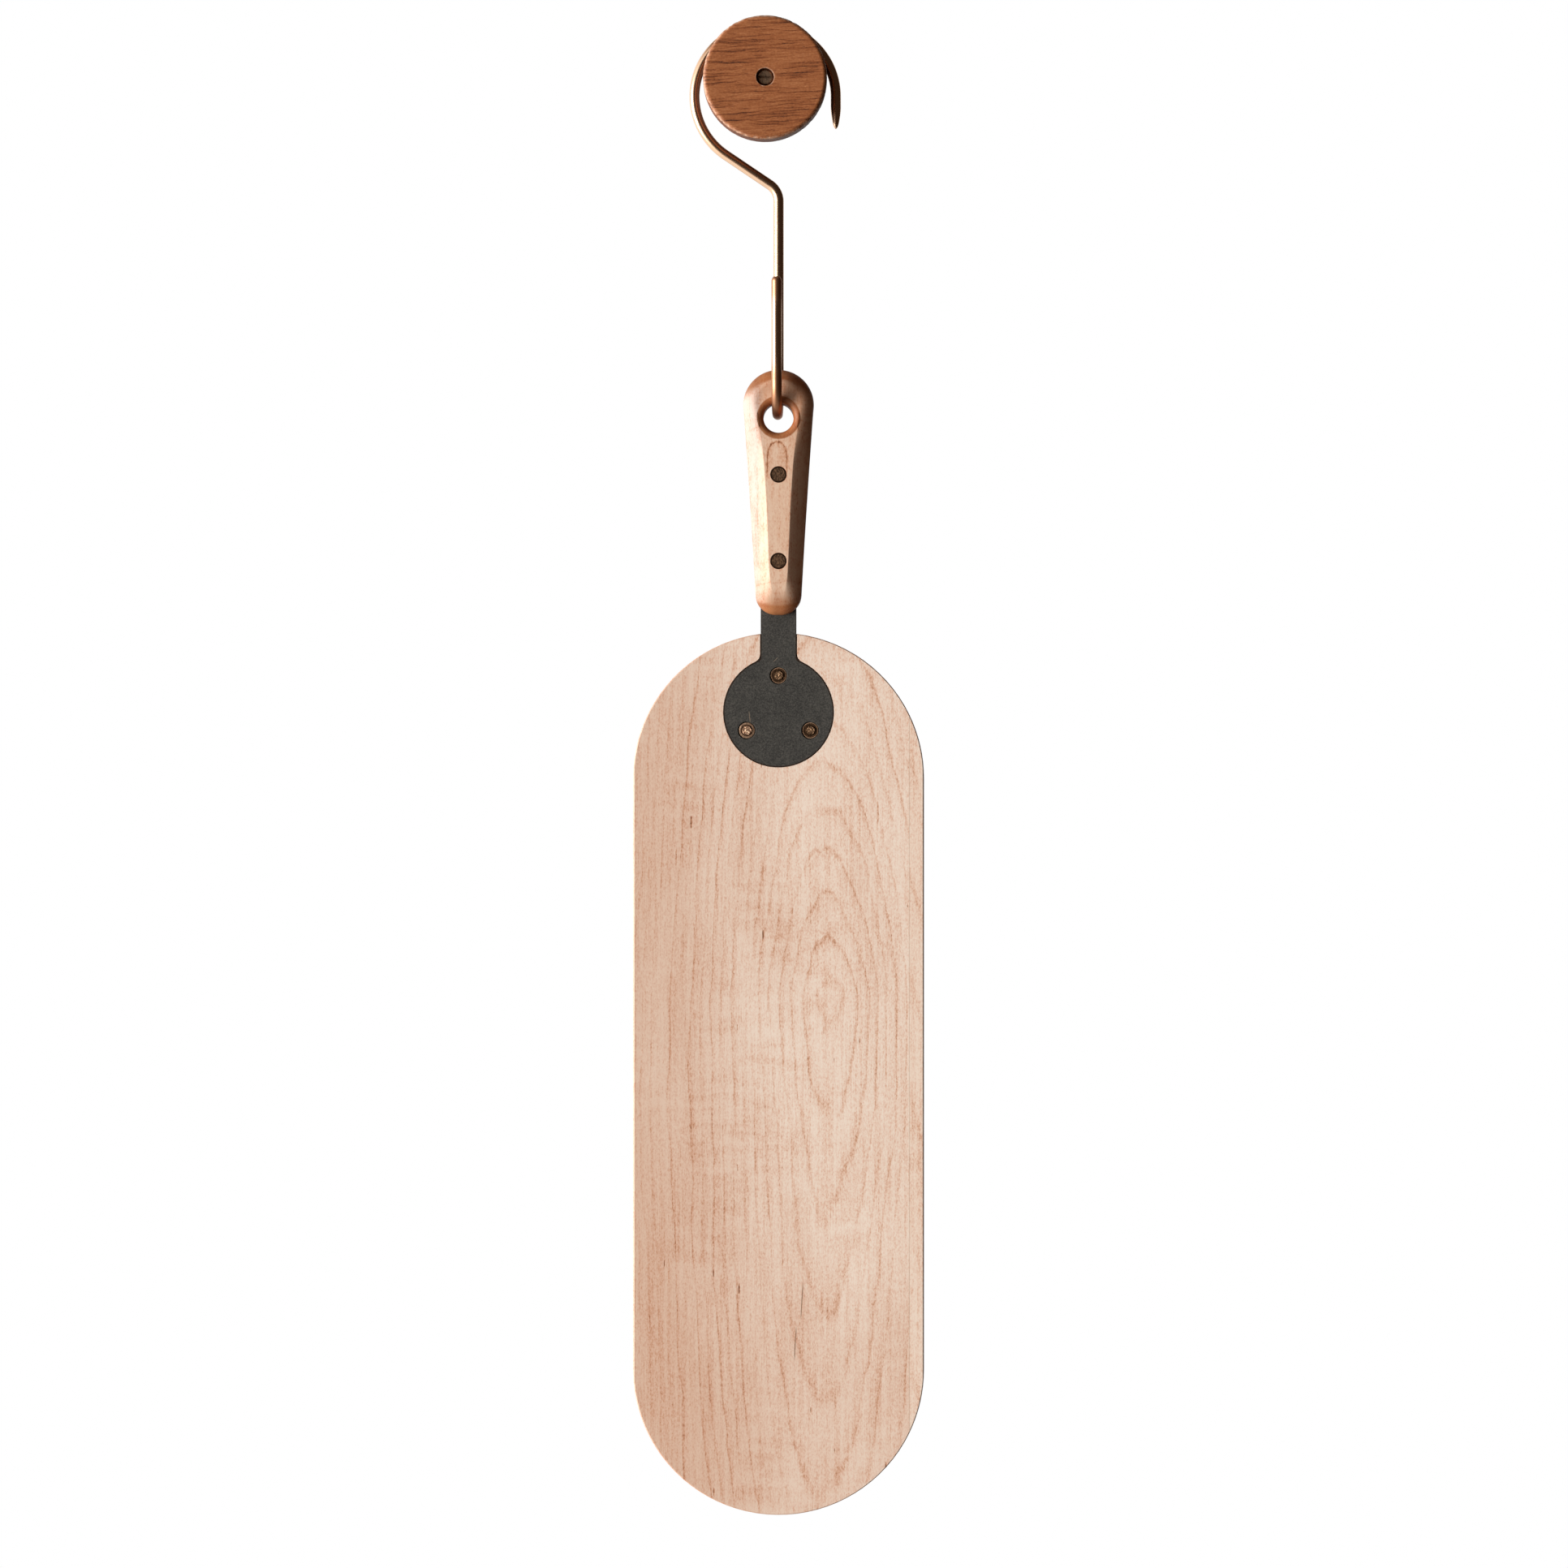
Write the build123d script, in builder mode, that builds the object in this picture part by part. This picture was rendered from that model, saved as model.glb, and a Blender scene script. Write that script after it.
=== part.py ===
"""Hanging serving board: a riveted maple board on a twisted brass hook and a round oak wall knob.

Millimetres. The origin is the centre of the knob's back, on the wall. +X is right, +Z is up
and the wall is the plane Y = 0, so everything in front of the wall has a negative Y.
"""
import math
import os

from build123d import *

# --- Knob: a spool of two turned pieces, screwed to the wall -----------------------------------
NECK_R = 28.0
NECK_LENGTH = 22.0
FACE_R = 33.0
FACE_THICKNESS = 14.0
FACE_FRONT_ROUND = 2.2
FACE_BACK_ROUND = 1.0
NECK_EDGE_BREAK = 0.5
NECK_RELIEF_R = 6.0
NECK_RELIEF_DEPTH = 1.5

# --- Wall screw and plug -----------------------------------------------------------------------
SCREW_R = 2.25
SCREW_CLEARANCE_R = 2.6
SCREW_HEAD_R = 3.9
SCREW_HEAD_HEIGHT = 2.6
SCREW_HEAD_BREAK = 0.4
SCREW_SINK = 1.8
SCREW_SEAT_R = 4.75
SCREW_SLOT_WIDTH = 1.2
SCREW_SLOT_DEPTH = 1.3
SCREW_TIP_START = 36.0
SCREW_TIP_END = 43.0
PLUG_R = 4.0
PLUG_LENGTH = 40.0
PLUG_PILOT_R = 2.0
PLUG_SLIT = 0.8
PLUG_PLAIN_LENGTH = 14.0
PLUG_NOSE_CHAMFER = 1.0

# --- How far a cutting shape runs past what it cuts, and how close a selected edge must be -------
OVERCUT = 2.0
CLOSE = 0.1

# --- Hook: one rod, twisted a quarter turn between its two bends --------------------------------
ROD_R = 2.75
ROD_Y = -11.0
HOOK_ARC_R = 37.9
HOOK_ARC_DROP = 6.85
HOOK_TIP_DROP = 24.4
HOOK_ARC_END = 236.0
HOOK_ELBOW_R = 10.8
SHANK_X = 7.2
CRADLE_R = 17.15
CRADLE_Z = -161.85
CRADLE_LEAN = 1.7
HOOK_LEG_TOP_Z = -106.9
TIP_TAPER = 3.2
TIP_TAPER_INSET = 1.7
LEG_END_CHAMFER = 1.3

# --- Handle ------------------------------------------------------------------------------------
CENTRE_X = SHANK_X
HANDLE_THICKNESS = 21.0
HANDLE_Y = ROD_Y - CRADLE_R
HANDLE_TOP_R = 18.8
HANDLE_TOP_Z = -174.2
HANDLE_TAPER_START = 4.6
HANDLE_WAIST = (14.9, -230.5)
HANDLE_FOOT = (12.4, -272.8)
HANDLE_END_Z = -285.8
HANDLE_END_HALF_WIDTH = 11.6
HANDLE_BEVEL = 7.0
DOME_R = 12.7
DOME_CORNER = 11.2
DOME_FLARE_R = 34.0
DOME_FLARE_HEIGHT = 40.0
HANG_HOLE_R = 8.0
HANG_HOLE_Z = -181.1
HANG_HOLE_ROUND = 3.2
PIN_R = 4.2
PIN_HOLE_R = 4.35
PIN_SINK = 0.08
PIN_EDGE_BREAK = 0.3
PIN_HEIGHTS = {"upper": -211.5, "lower": -257.4}

# --- Tang plate: strap, disc and the slot that holds the strap in the handle --------------------
PLATE_THICKNESS = 3.0
STRAP_WIDTH = 19.0
STRAP_TOP_Z = -203.0
PLATE_DISC_R = 29.2
PLATE_DISC_Z = -337.5
PLATE_NECK_ROUND = 5.0
MORTISE_GAP = 0.1
MORTISE_TOP_Z = -202.0

# --- Board, glued up from a wide plank and a narrow strip ----------------------------------------
BOARD_WIDTH = 155.0
BOARD_LENGTH = 470.0
BOARD_THICKNESS = 19.0
BOARD_TOP_Z = -295.2
BOARD_EDGE_CHAMFER = 0.5
GLUE_LINE_X = CENTRE_X + 69.7
INLAY_GAP = 0.35
BOARD_FRONT_Y = HANDLE_Y - PLATE_THICKNESS / 2
BOARD_BACK_Y = BOARD_FRONT_Y + BOARD_THICKNESS
BOARD_CENTRE_Z = BOARD_TOP_Z - BOARD_LENGTH / 2

# --- Rivets that hold the plate to the board -----------------------------------------------------
RIVET_R = 2.2
RIVET_CIRCLE_R = 19.5
RIVET_HEAD_R = 5.2
RIVET_HEAD_HEIGHT = 1.4
RIVET_PEEN_R = 2.7
RIVET_PEEN_HEIGHT = 0.4
BURR_R = 4.2
BURR_THICKNESS = 0.6
BURR_SEAT_R = 4.75
BURR_SEAT_DEPTH = 1.0
RIVET_SEAT_R = 5.35
RIVET_ANGLES = {"top": 90.0, "left": 210.0, "right": 330.0}


def wall_plane(distance):
    """A plane parallel to the wall, the given distance in front of it, facing the viewer."""
    return Plane.XZ.offset(distance)


def finish(part, name):
    """Name a finished piece and write it to its own file."""
    part.label = name
    export_step(part, f"parts/{name}.step")


os.makedirs("parts", exist_ok=True)

# === Knob =======================================================================================
# The neck's back is relieved round the screw, so that the plug's mouth can't hold it off the wall.
with BuildPart() as knob_neck:
    with BuildSketch(wall_plane(0)):
        Circle(NECK_R)
    extrude(amount=NECK_LENGTH)
    chamfer(knob_neck.faces().sort_by(Axis.Y)[-1].edges(), NECK_EDGE_BREAK)
    with Locations(-wall_plane(0)):
        CounterBoreHole(SCREW_CLEARANCE_R, NECK_RELIEF_R, NECK_RELIEF_DEPTH)
finish(knob_neck.part, "knob_neck")

FACE_FRONT = NECK_LENGTH + FACE_THICKNESS
with BuildPart() as knob_face:
    with BuildSketch(wall_plane(NECK_LENGTH)):
        Circle(FACE_R)
    extrude(amount=FACE_THICKNESS)
    fillet(knob_face.faces().sort_by(Axis.Y)[0].edges(), FACE_FRONT_ROUND)
    fillet(knob_face.faces().sort_by(Axis.Y)[-1].edges(), FACE_BACK_ROUND)
    with Locations(wall_plane(FACE_FRONT)):
        CounterBoreHole(SCREW_CLEARANCE_R, SCREW_SEAT_R, SCREW_SINK + SCREW_HEAD_HEIGHT)
finish(knob_face.part, "knob_face")

# === Wall screw: turned profile, then the slot cut across its head ===============================
SCREW_HEAD_FRONT = -(FACE_FRONT - SCREW_SINK)
SCREW_HEAD_SEAT = SCREW_HEAD_FRONT + SCREW_HEAD_HEIGHT
with BuildPart() as wall_screw:
    with BuildSketch(Plane.XY):
        with BuildLine():
            Polyline(
                (0, SCREW_HEAD_FRONT),
                (SCREW_HEAD_R - SCREW_HEAD_BREAK, SCREW_HEAD_FRONT),
                (SCREW_HEAD_R, SCREW_HEAD_FRONT + SCREW_HEAD_BREAK),
                (SCREW_HEAD_R, SCREW_HEAD_SEAT),
                (SCREW_R, SCREW_HEAD_SEAT),
                (SCREW_R, SCREW_TIP_START),
                (0, SCREW_TIP_END),
                close=True,
            )
        make_face()
    revolve(axis=Axis.Y)
    with BuildSketch(wall_plane(-SCREW_HEAD_FRONT)):
        Rectangle(2 * SCREW_HEAD_R, SCREW_SLOT_WIDTH)
    extrude(amount=-SCREW_SLOT_DEPTH, mode=Mode.SUBTRACT)
finish(wall_screw.part, "wall_screw")

# === Wall plug: a tube whose front stays whole and whose far end is slit in a cross ==============
with BuildPart() as wall_plug:
    with BuildSketch(wall_plane(0)):
        Circle(PLUG_R)
        Circle(PLUG_PILOT_R, mode=Mode.SUBTRACT)
    extrude(amount=-PLUG_LENGTH)
    chamfer(wall_plug.faces().sort_by(Axis.Y)[-1].outer_wire().edges(), PLUG_NOSE_CHAMFER)
    with BuildSketch(wall_plane(-PLUG_PLAIN_LENGTH)):
        for turn in (45, 135):
            Rectangle(2 * PLUG_R + OVERCUT, PLUG_SLIT, rotation=turn)
    extrude(amount=-PLUG_LENGTH, mode=Mode.SUBTRACT)
finish(wall_plug.part, "wall_plug")


# === Hook ========================================================================================
def on_rod_plane(x, z):
    """A point of the hook's upper part, which lies in one plane parallel to the wall."""
    return (x, ROD_Y, z)


def on_cradle_plane(reach, z):
    """A point of the hook's lower bend, which runs out from the wall and leans a little to the left."""
    lean = math.radians(CRADLE_LEAN)
    return (SHANK_X - reach * math.sin(lean), ROD_Y - reach * math.cos(lean), z)


def on_hook_arc(degrees):
    """A point of the arc that goes over the knob's neck."""
    angle = math.radians(degrees)
    return on_rod_plane(HOOK_ARC_R * math.cos(angle), HOOK_ARC_R * math.sin(angle) - HOOK_ARC_DROP)


# The rod leaves the arc on a slope and turns into the shank at the elbow.
slope = math.radians(HOOK_ARC_END + 90 - 360)
slope_start = on_hook_arc(HOOK_ARC_END)
elbow_corner = on_rod_plane(
    SHANK_X,
    slope_start[2] + (SHANK_X - slope_start[0]) * math.tan(slope),
)
elbow_turn = math.pi / 2 + slope
elbow_reach = HOOK_ELBOW_R * math.tan(elbow_turn / 2)
elbow_in = on_rod_plane(
    elbow_corner[0] - elbow_reach * math.cos(slope),
    elbow_corner[2] - elbow_reach * math.sin(slope),
)
elbow_out = on_rod_plane(SHANK_X, elbow_corner[2] - elbow_reach)
elbow_centre = (SHANK_X - HOOK_ELBOW_R, elbow_out[2])
elbow_mid = on_rod_plane(
    elbow_centre[0] + HOOK_ELBOW_R * math.cos(elbow_turn / 2),
    elbow_centre[1] + HOOK_ELBOW_R * math.sin(elbow_turn / 2),
)

with BuildPart() as s_hook:
    with BuildLine() as rod_path:
        Line(on_rod_plane(HOOK_ARC_R, -HOOK_TIP_DROP), on_hook_arc(0))
        ThreePointArc(on_hook_arc(0), on_hook_arc(HOOK_ARC_END / 2), on_hook_arc(HOOK_ARC_END))
        Line(on_hook_arc(HOOK_ARC_END), elbow_in)
        ThreePointArc(elbow_in, elbow_mid, elbow_out)
        Line(elbow_out, on_cradle_plane(0, CRADLE_Z))
        ThreePointArc(
            on_cradle_plane(0, CRADLE_Z),
            on_cradle_plane(CRADLE_R, CRADLE_Z - CRADLE_R),
            on_cradle_plane(2 * CRADLE_R, CRADLE_Z),
        )
        Line(
            on_cradle_plane(2 * CRADLE_R, CRADLE_Z),
            on_cradle_plane(2 * CRADLE_R, HOOK_LEG_TOP_Z),
        )
    with BuildSketch(Plane(origin=rod_path.line @ 0, z_dir=rod_path.line % 0)):
        Circle(ROD_R)
    sweep(path=rod_path.line)
    tip_face = s_hook.faces().filter_by(GeomType.PLANE).sort_by(Axis.X)[-1]
    chamfer(tip_face.edges(), TIP_TAPER_INSET, TIP_TAPER, reference=tip_face)
    leg_face = s_hook.faces().filter_by(GeomType.PLANE).sort_by(Axis.Y)[0]
    chamfer(leg_face.edges(), LEG_END_CHAMFER)
finish(s_hook.part, "s_hook")

# === Handle ======================================================================================
handle_front = wall_plane(HANDLE_THICKNESS / 2 - HANDLE_Y)
with BuildPart() as handle:
    with BuildSketch(handle_front):
        with BuildLine():
            top = CenterArc(
                (CENTRE_X, HANDLE_TOP_Z),
                HANDLE_TOP_R,
                -HANDLE_TAPER_START,
                180 + 2 * HANDLE_TAPER_START,
            )
            for side, end in ((1, top @ 0), (-1, top @ 1)):
                ThreePointArc(
                    end,
                    (CENTRE_X + side * HANDLE_WAIST[0], HANDLE_WAIST[1]),
                    (CENTRE_X + side * HANDLE_FOOT[0], HANDLE_FOOT[1]),
                )
                Line(
                    (CENTRE_X + side * HANDLE_FOOT[0], HANDLE_FOOT[1]),
                    (CENTRE_X + side * HANDLE_END_HALF_WIDTH, HANDLE_END_Z),
                )
            Line(
                (CENTRE_X - HANDLE_END_HALF_WIDTH, HANDLE_END_Z),
                (CENTRE_X + HANDLE_END_HALF_WIDTH, HANDLE_END_Z),
            )
        make_face()
    extrude(amount=-HANDLE_THICKNESS)
    broad_faces = handle.faces().filter_by(Axis.Y)
    long_edges = broad_faces.edges().filter_by_position(Axis.Z, HANDLE_END_Z + CLOSE, 0)
    chamfer(long_edges, HANDLE_BEVEL)
    # The lower end is rounded off as a dome about the handle's own axis.
    with BuildSketch(Plane.XZ.offset(-HANDLE_Y)):
        with BuildLine():
            corner = CenterArc(
                (CENTRE_X + DOME_R - DOME_CORNER, HANDLE_END_Z + DOME_CORNER),
                DOME_CORNER,
                -90,
                90,
            )
            Polyline(
                corner @ 1,
                (CENTRE_X + DOME_FLARE_R, HANDLE_END_Z + DOME_CORNER + DOME_FLARE_HEIGHT),
                (CENTRE_X + DOME_FLARE_R, 0),
                (CENTRE_X, 0),
                (CENTRE_X, HANDLE_END_Z),
                corner @ 0,
            )
        make_face()
    revolve(axis=Axis((CENTRE_X, HANDLE_Y, 0), (0, 0, 1)), mode=Mode.INTERSECT)
    # Hanging hole, pin holes and the blind slot for the strap.
    with Locations(handle_front):
        with Locations((CENTRE_X, HANG_HOLE_Z)):
            Hole(HANG_HOLE_R)
        with Locations(*[(CENTRE_X, height) for height in PIN_HEIGHTS.values()]):
            Hole(PIN_HOLE_R)
    hole_rims = handle.edges().filter_by(GeomType.CIRCLE).filter_by(
        lambda rim: abs(rim.radius - HANG_HOLE_R) < CLOSE
    )
    fillet(hole_rims, HANG_HOLE_ROUND)
    with BuildSketch(Plane.XY.offset(MORTISE_TOP_Z)):
        with Locations((CENTRE_X, HANDLE_Y)):
            Rectangle(STRAP_WIDTH + 2 * MORTISE_GAP, PLATE_THICKNESS + 2 * MORTISE_GAP)
    extrude(amount=HANDLE_END_Z - MORTISE_TOP_Z - OVERCUT, mode=Mode.SUBTRACT)
finish(handle.part, "handle")

for position, height in PIN_HEIGHTS.items():
    with BuildPart() as handle_pin:
        with BuildSketch(wall_plane(HANDLE_THICKNESS / 2 - HANDLE_Y - PIN_SINK)):
            with Locations((CENTRE_X, height)):
                Circle(PIN_R)
        extrude(amount=2 * PIN_SINK - HANDLE_THICKNESS)
        chamfer(handle_pin.faces().filter_by(Axis.Y).edges(), PIN_EDGE_BREAK)
    finish(handle_pin.part, f"handle_pin_{position}")

# === Tang plate ==================================================================================
board_front = wall_plane(-BOARD_FRONT_Y)
board_back = Plane(origin=(0, BOARD_BACK_Y, 0), x_dir=(-1, 0, 0), z_dir=(0, 1, 0))


def draw_plate_outline(sketch, grow):
    """Draw the strap and its disc on the front plane, grown all round for their pocket."""
    with Locations((CENTRE_X, PLATE_DISC_Z)):
        Circle(PLATE_DISC_R + grow)
    with Locations((CENTRE_X, (STRAP_TOP_Z + PLATE_DISC_Z) / 2)):
        Rectangle(STRAP_WIDTH + 2 * grow, STRAP_TOP_Z - PLATE_DISC_Z)
    rise = math.sqrt((PLATE_DISC_R + grow) ** 2 - (STRAP_WIDTH / 2 + grow) ** 2)
    corners = sketch.vertices().filter_by_position(
        Axis.Y, PLATE_DISC_Z + rise - CLOSE, PLATE_DISC_Z + rise + CLOSE
    )
    fillet(corners, PLATE_NECK_ROUND - grow)


with BuildPart() as tang_plate:
    with BuildSketch(board_front) as plate_sketch:
        draw_plate_outline(plate_sketch, 0)
    extrude(amount=-PLATE_THICKNESS)
    with Locations(board_front):
        with Locations(*[(CENTRE_X, height) for height in PIN_HEIGHTS.values()]):
            Hole(PIN_R)
        with Locations((CENTRE_X, PLATE_DISC_Z)):
            with PolarLocations(RIVET_CIRCLE_R, len(RIVET_ANGLES), start_angle=RIVET_ANGLES["top"]):
                CounterBoreHole(RIVET_R, BURR_SEAT_R, BURR_SEAT_DEPTH)
finish(tang_plate.part, "tang_plate")

# === Board: one outline, pocketed for the plate and then parted at the glue line =================
with BuildPart() as board:
    with BuildSketch(board_front):
        with Locations((CENTRE_X, BOARD_CENTRE_Z)):
            SlotOverall(BOARD_LENGTH, BOARD_WIDTH, rotation=90)
    extrude(amount=-BOARD_THICKNESS)
    chamfer(board.faces().filter_by(Axis.Y).edges(), BOARD_EDGE_CHAMFER)
    with BuildSketch(board_front) as pocket_sketch:
        draw_plate_outline(pocket_sketch, INLAY_GAP)
    extrude(amount=-PLATE_THICKNESS, mode=Mode.SUBTRACT)
    with Locations(board_back):
        with Locations((-CENTRE_X, PLATE_DISC_Z)):
            with PolarLocations(RIVET_CIRCLE_R, len(RIVET_ANGLES), start_angle=RIVET_ANGLES["top"]):
                CounterBoreHole(RIVET_R, RIVET_SEAT_R, RIVET_HEAD_HEIGHT)

glue_plane = Plane.YZ.offset(GLUE_LINE_X)
with BuildPart() as board_main:
    add(board.part)
    split(bisect_by=glue_plane, keep=Keep.BOTTOM)
finish(board_main.part, "board_main")

with BuildPart() as board_edge_strip:
    add(board.part)
    split(bisect_by=glue_plane, keep=Keep.TOP)
finish(board_edge_strip.part, "board_edge_strip")

# === Rivets and their burrs ======================================================================
BURR_SEAT_Y = BOARD_FRONT_Y + BURR_SEAT_DEPTH
BURR_TOP_Y = BURR_SEAT_Y - BURR_THICKNESS
for position, angle in RIVET_ANGLES.items():
    rivet_x = CENTRE_X + RIVET_CIRCLE_R * math.cos(math.radians(angle))
    rivet_z = PLATE_DISC_Z + RIVET_CIRCLE_R * math.sin(math.radians(angle))

    with BuildPart() as board_rivet:
        with BuildSketch(Plane.XY.offset(rivet_z)):
            with BuildLine():
                Polyline(
                    (rivet_x, BOARD_BACK_Y),
                    (rivet_x + RIVET_HEAD_R, BOARD_BACK_Y),
                    (rivet_x + RIVET_HEAD_R, BOARD_BACK_Y - RIVET_HEAD_HEIGHT),
                    (rivet_x + RIVET_R, BOARD_BACK_Y - RIVET_HEAD_HEIGHT),
                    (rivet_x + RIVET_R, BURR_TOP_Y),
                    (rivet_x + RIVET_PEEN_R, BURR_TOP_Y),
                    (rivet_x + RIVET_PEEN_R - RIVET_PEEN_HEIGHT, BURR_TOP_Y - RIVET_PEEN_HEIGHT),
                    (rivet_x, BURR_TOP_Y - RIVET_PEEN_HEIGHT),
                    close=True,
                )
            make_face()
        revolve(axis=Axis((rivet_x, 0, rivet_z), (0, 1, 0)))
    finish(board_rivet.part, f"board_rivet_{position}")

    with BuildPart() as rivet_burr:
        with BuildSketch(wall_plane(-BURR_SEAT_Y)):
            with Locations((rivet_x, rivet_z)):
                Circle(BURR_R)
                Circle(RIVET_R, mode=Mode.SUBTRACT)
        extrude(amount=BURR_THICKNESS)
    finish(rivet_burr.part, f"rivet_burr_{position}")
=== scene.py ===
"""Looks of the hanging serving board: a maple board on a brass hook and an oak wall knob.

Metres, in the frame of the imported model: +X right, +Z up, -Y towards the viewer. The materials'
patterns are worked out in millimetres.
"""
import math
import random

import bmesh
import bpy
import numpy as np
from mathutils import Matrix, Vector, noise


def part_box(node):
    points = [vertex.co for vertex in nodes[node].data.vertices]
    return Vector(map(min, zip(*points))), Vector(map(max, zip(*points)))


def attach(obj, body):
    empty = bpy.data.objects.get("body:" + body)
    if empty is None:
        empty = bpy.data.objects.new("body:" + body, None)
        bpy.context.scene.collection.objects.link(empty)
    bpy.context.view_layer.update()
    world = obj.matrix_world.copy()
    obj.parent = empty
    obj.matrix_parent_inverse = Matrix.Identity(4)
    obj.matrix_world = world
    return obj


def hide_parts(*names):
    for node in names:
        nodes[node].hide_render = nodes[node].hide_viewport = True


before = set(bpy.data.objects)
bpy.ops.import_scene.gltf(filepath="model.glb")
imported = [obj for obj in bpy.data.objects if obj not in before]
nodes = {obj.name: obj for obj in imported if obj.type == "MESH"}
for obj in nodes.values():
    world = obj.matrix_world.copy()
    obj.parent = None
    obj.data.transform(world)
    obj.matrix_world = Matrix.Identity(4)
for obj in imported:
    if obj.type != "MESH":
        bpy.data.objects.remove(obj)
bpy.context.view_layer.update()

MM = 0.001


# --- Places read from the frame ---
def middle_of(node_name):
    """The middle of a CAD node in front view, (x, z)."""
    low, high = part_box(node_name)
    return (low.x + high.x) / 2, (low.z + high.z) / 2


plank_low, plank_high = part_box("board_main")
strip_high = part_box("board_edge_strip")[1]
plate_low, plate_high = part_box("tang_plate")
handle_low, handle_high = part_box("handle")
hook_low, hook_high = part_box("s_hook")
face_low, face_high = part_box("knob_face")

BOARD_X = (plank_low.x + strip_high.x) / 2
GLUE_X = plank_high.x
BOARD_FRONT = plank_low.y
BOARD_BOTTOM = plank_low.z
PLATE_DISC_R = (plate_high.x - plate_low.x) / 2
PLATE_DISC_Z = plate_low.z + PLATE_DISC_R
STRAP_WIDTH = 19 * MM
HANDLE_X = (handle_low.x + handle_high.x) / 2
HANDLE_Y = (handle_low.y + handle_high.y) / 2
HEAD_R = (handle_high.x - handle_low.x) / 2
HEAD_Z = handle_high.z - HEAD_R
HANG_HOLE_Z = HEAD_Z - 6.9 * MM
PINS = [middle_of("handle_pin_upper"), middle_of("handle_pin_lower")]
RIVETS = [middle_of(f"board_rivet_{spot}") for spot in ("top", "left", "right")]


# --- Small tools ---
class Graph:
    """A node tree, filled by calls that take plain values or other nodes' sockets."""

    def __init__(self, tree):
        self.tree = tree
        tree.nodes.clear()

    def node(self, kind, inputs=None, **settings):
        made = self.tree.nodes.new("ShaderNode" + kind)
        for key, value in settings.items():
            setattr(made, key, value)
        for key, value in (inputs or {}).items():
            self.feed(made.inputs[key], value)
        return made

    def feed(self, socket, value):
        if isinstance(value, bpy.types.NodeSocket):
            self.tree.links.new(value, socket)
        else:
            socket.default_value = value

    def math(self, operation, *values, clamp=False):
        made = self.node("Math", operation=operation, use_clamp=clamp)
        for socket, value in zip(made.inputs, values):
            self.feed(socket, value)
        return made.outputs[0]

    def add(self, *values):
        total = values[0]
        for value in values[1:]:
            total = self.math("ADD", total, value)
        return total

    def weighted(self, start, *parts):
        """A start value plus the parts, each (value, weight)."""
        return self.add(start, *(self.times(value, weight) for value, weight in parts))

    def times(self, *values):
        product = values[0]
        for value in values[1:]:
            product = self.math("MULTIPLY", product, value)
        return product

    def size(self, value):
        return self.math("ABSOLUTE", value)

    def higher(self, first, second):
        return self.math("MAXIMUM", first, second)

    def smooth(self, value, low, high):
        """0 below low and 1 above high, with soft ends; high may be the smaller one."""
        made = self.node("MapRange", {"Value": value, "From Min": low, "From Max": high},
                         interpolation_type="SMOOTHSTEP")
        return made.outputs[0]

    def millimetres(self):
        """Object coordinates in millimetres: the row frame's own places, at every pose."""
        coords = self.node("TexCoord").outputs["Object"]
        return self.node("VectorMath", {0: coords, "Scale": 1 / MM}, operation="SCALE").outputs[0]

    def split(self, vector):
        """The three sockets X, Y and Z of a vector."""
        return self.node("SeparateXYZ", {"Vector": vector}).outputs

    def facing(self, axis):
        """How squarely the surface faces up or down an axis, from 0 to 1."""
        return self.size(self.split(self.node("TexCoord").outputs["Normal"])[axis])

    def flat(self, x, z):
        """A place in front view, without its depth."""
        return self.node("CombineXYZ", {"X": x, "Y": z}).outputs[0]

    def distance(self, x, z, place):
        """How far (x, z) is from a place in front view."""
        made = self.node("VectorMath", {0: self.flat(x, z), 1: self.flat(*place)}, operation="DISTANCE")
        return made.outputs["Value"]

    def stretched(self, coords, sizes):
        """The coordinates measured in patches of these sizes."""
        return self.node("VectorMath", {0: coords, 1: sizes}, operation="DIVIDE").outputs[0]

    def noise(self, coords, sizes, detail, roughness, seed):
        """Noise about zero, from about -0.5 to 0.5, in patches of these sizes."""
        inputs = {"Vector": self.stretched(coords, sizes), "W": seed, "Scale": 1.0, "Detail": detail,
                  "Roughness": roughness}
        made = self.node("TexNoise", inputs, noise_dimensions="4D")
        return self.math("SUBTRACT", made.outputs["Fac"], 0.5)

    def ramp(self, value, stops):
        """A colour ramp with stops of (position, colour)."""
        made = self.node("ValToRGB", {"Fac": value})
        elements = made.color_ramp.elements
        while len(elements) < len(stops):
            elements.new(0.5)
        for element, (position, colour) in zip(elements, stops):
            element.position = position
            element.color = (*colour, 1.0)
        return made.outputs["Color"]

    def mix(self, factor, first, second, blend="MIX"):
        made = self.node("Mix", data_type="RGBA", blend_type=blend)
        self.feed(made.inputs["Factor"], factor)
        for socket, value in ((made.inputs["A"], first), (made.inputs["B"], second)):
            self.feed(socket, (*value, 1.0) if isinstance(value, tuple) else value)
        return made.outputs["Result"]

    def by_ray(self, other, camera):
        """One shader for the camera's own rays and another for all other rays."""
        seen = self.node("LightPath").outputs["Is Camera Ray"]
        return self.node("MixShader", {0: seen, 1: other, 2: camera}).outputs[0]


def new_material(name):
    material = bpy.data.materials.new(name)
    material.use_nodes = True
    return material, Graph(material.node_tree)


def surface(graph, colour, roughness, height, depth, strength, **fixed):
    """End a material: its shader, a bump from a height field, and the values that are the same all over."""
    bump = graph.node("Bump", {"Height": height, "Distance": depth, "Strength": strength})
    shader = graph.node("BsdfPrincipled", {"Base Color": colour, "Roughness": roughness,
                                           "Normal": bump.outputs["Normal"]})
    for key, value in fixed.items():
        shader.inputs[key.replace("_", " ")].default_value = value
    graph.node("OutputMaterial", {"Surface": shader.outputs["BSDF"]})


def add_object(name, data):
    made = bpy.data.objects.new(name, data)
    bpy.context.scene.collection.objects.link(made)
    return made


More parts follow.
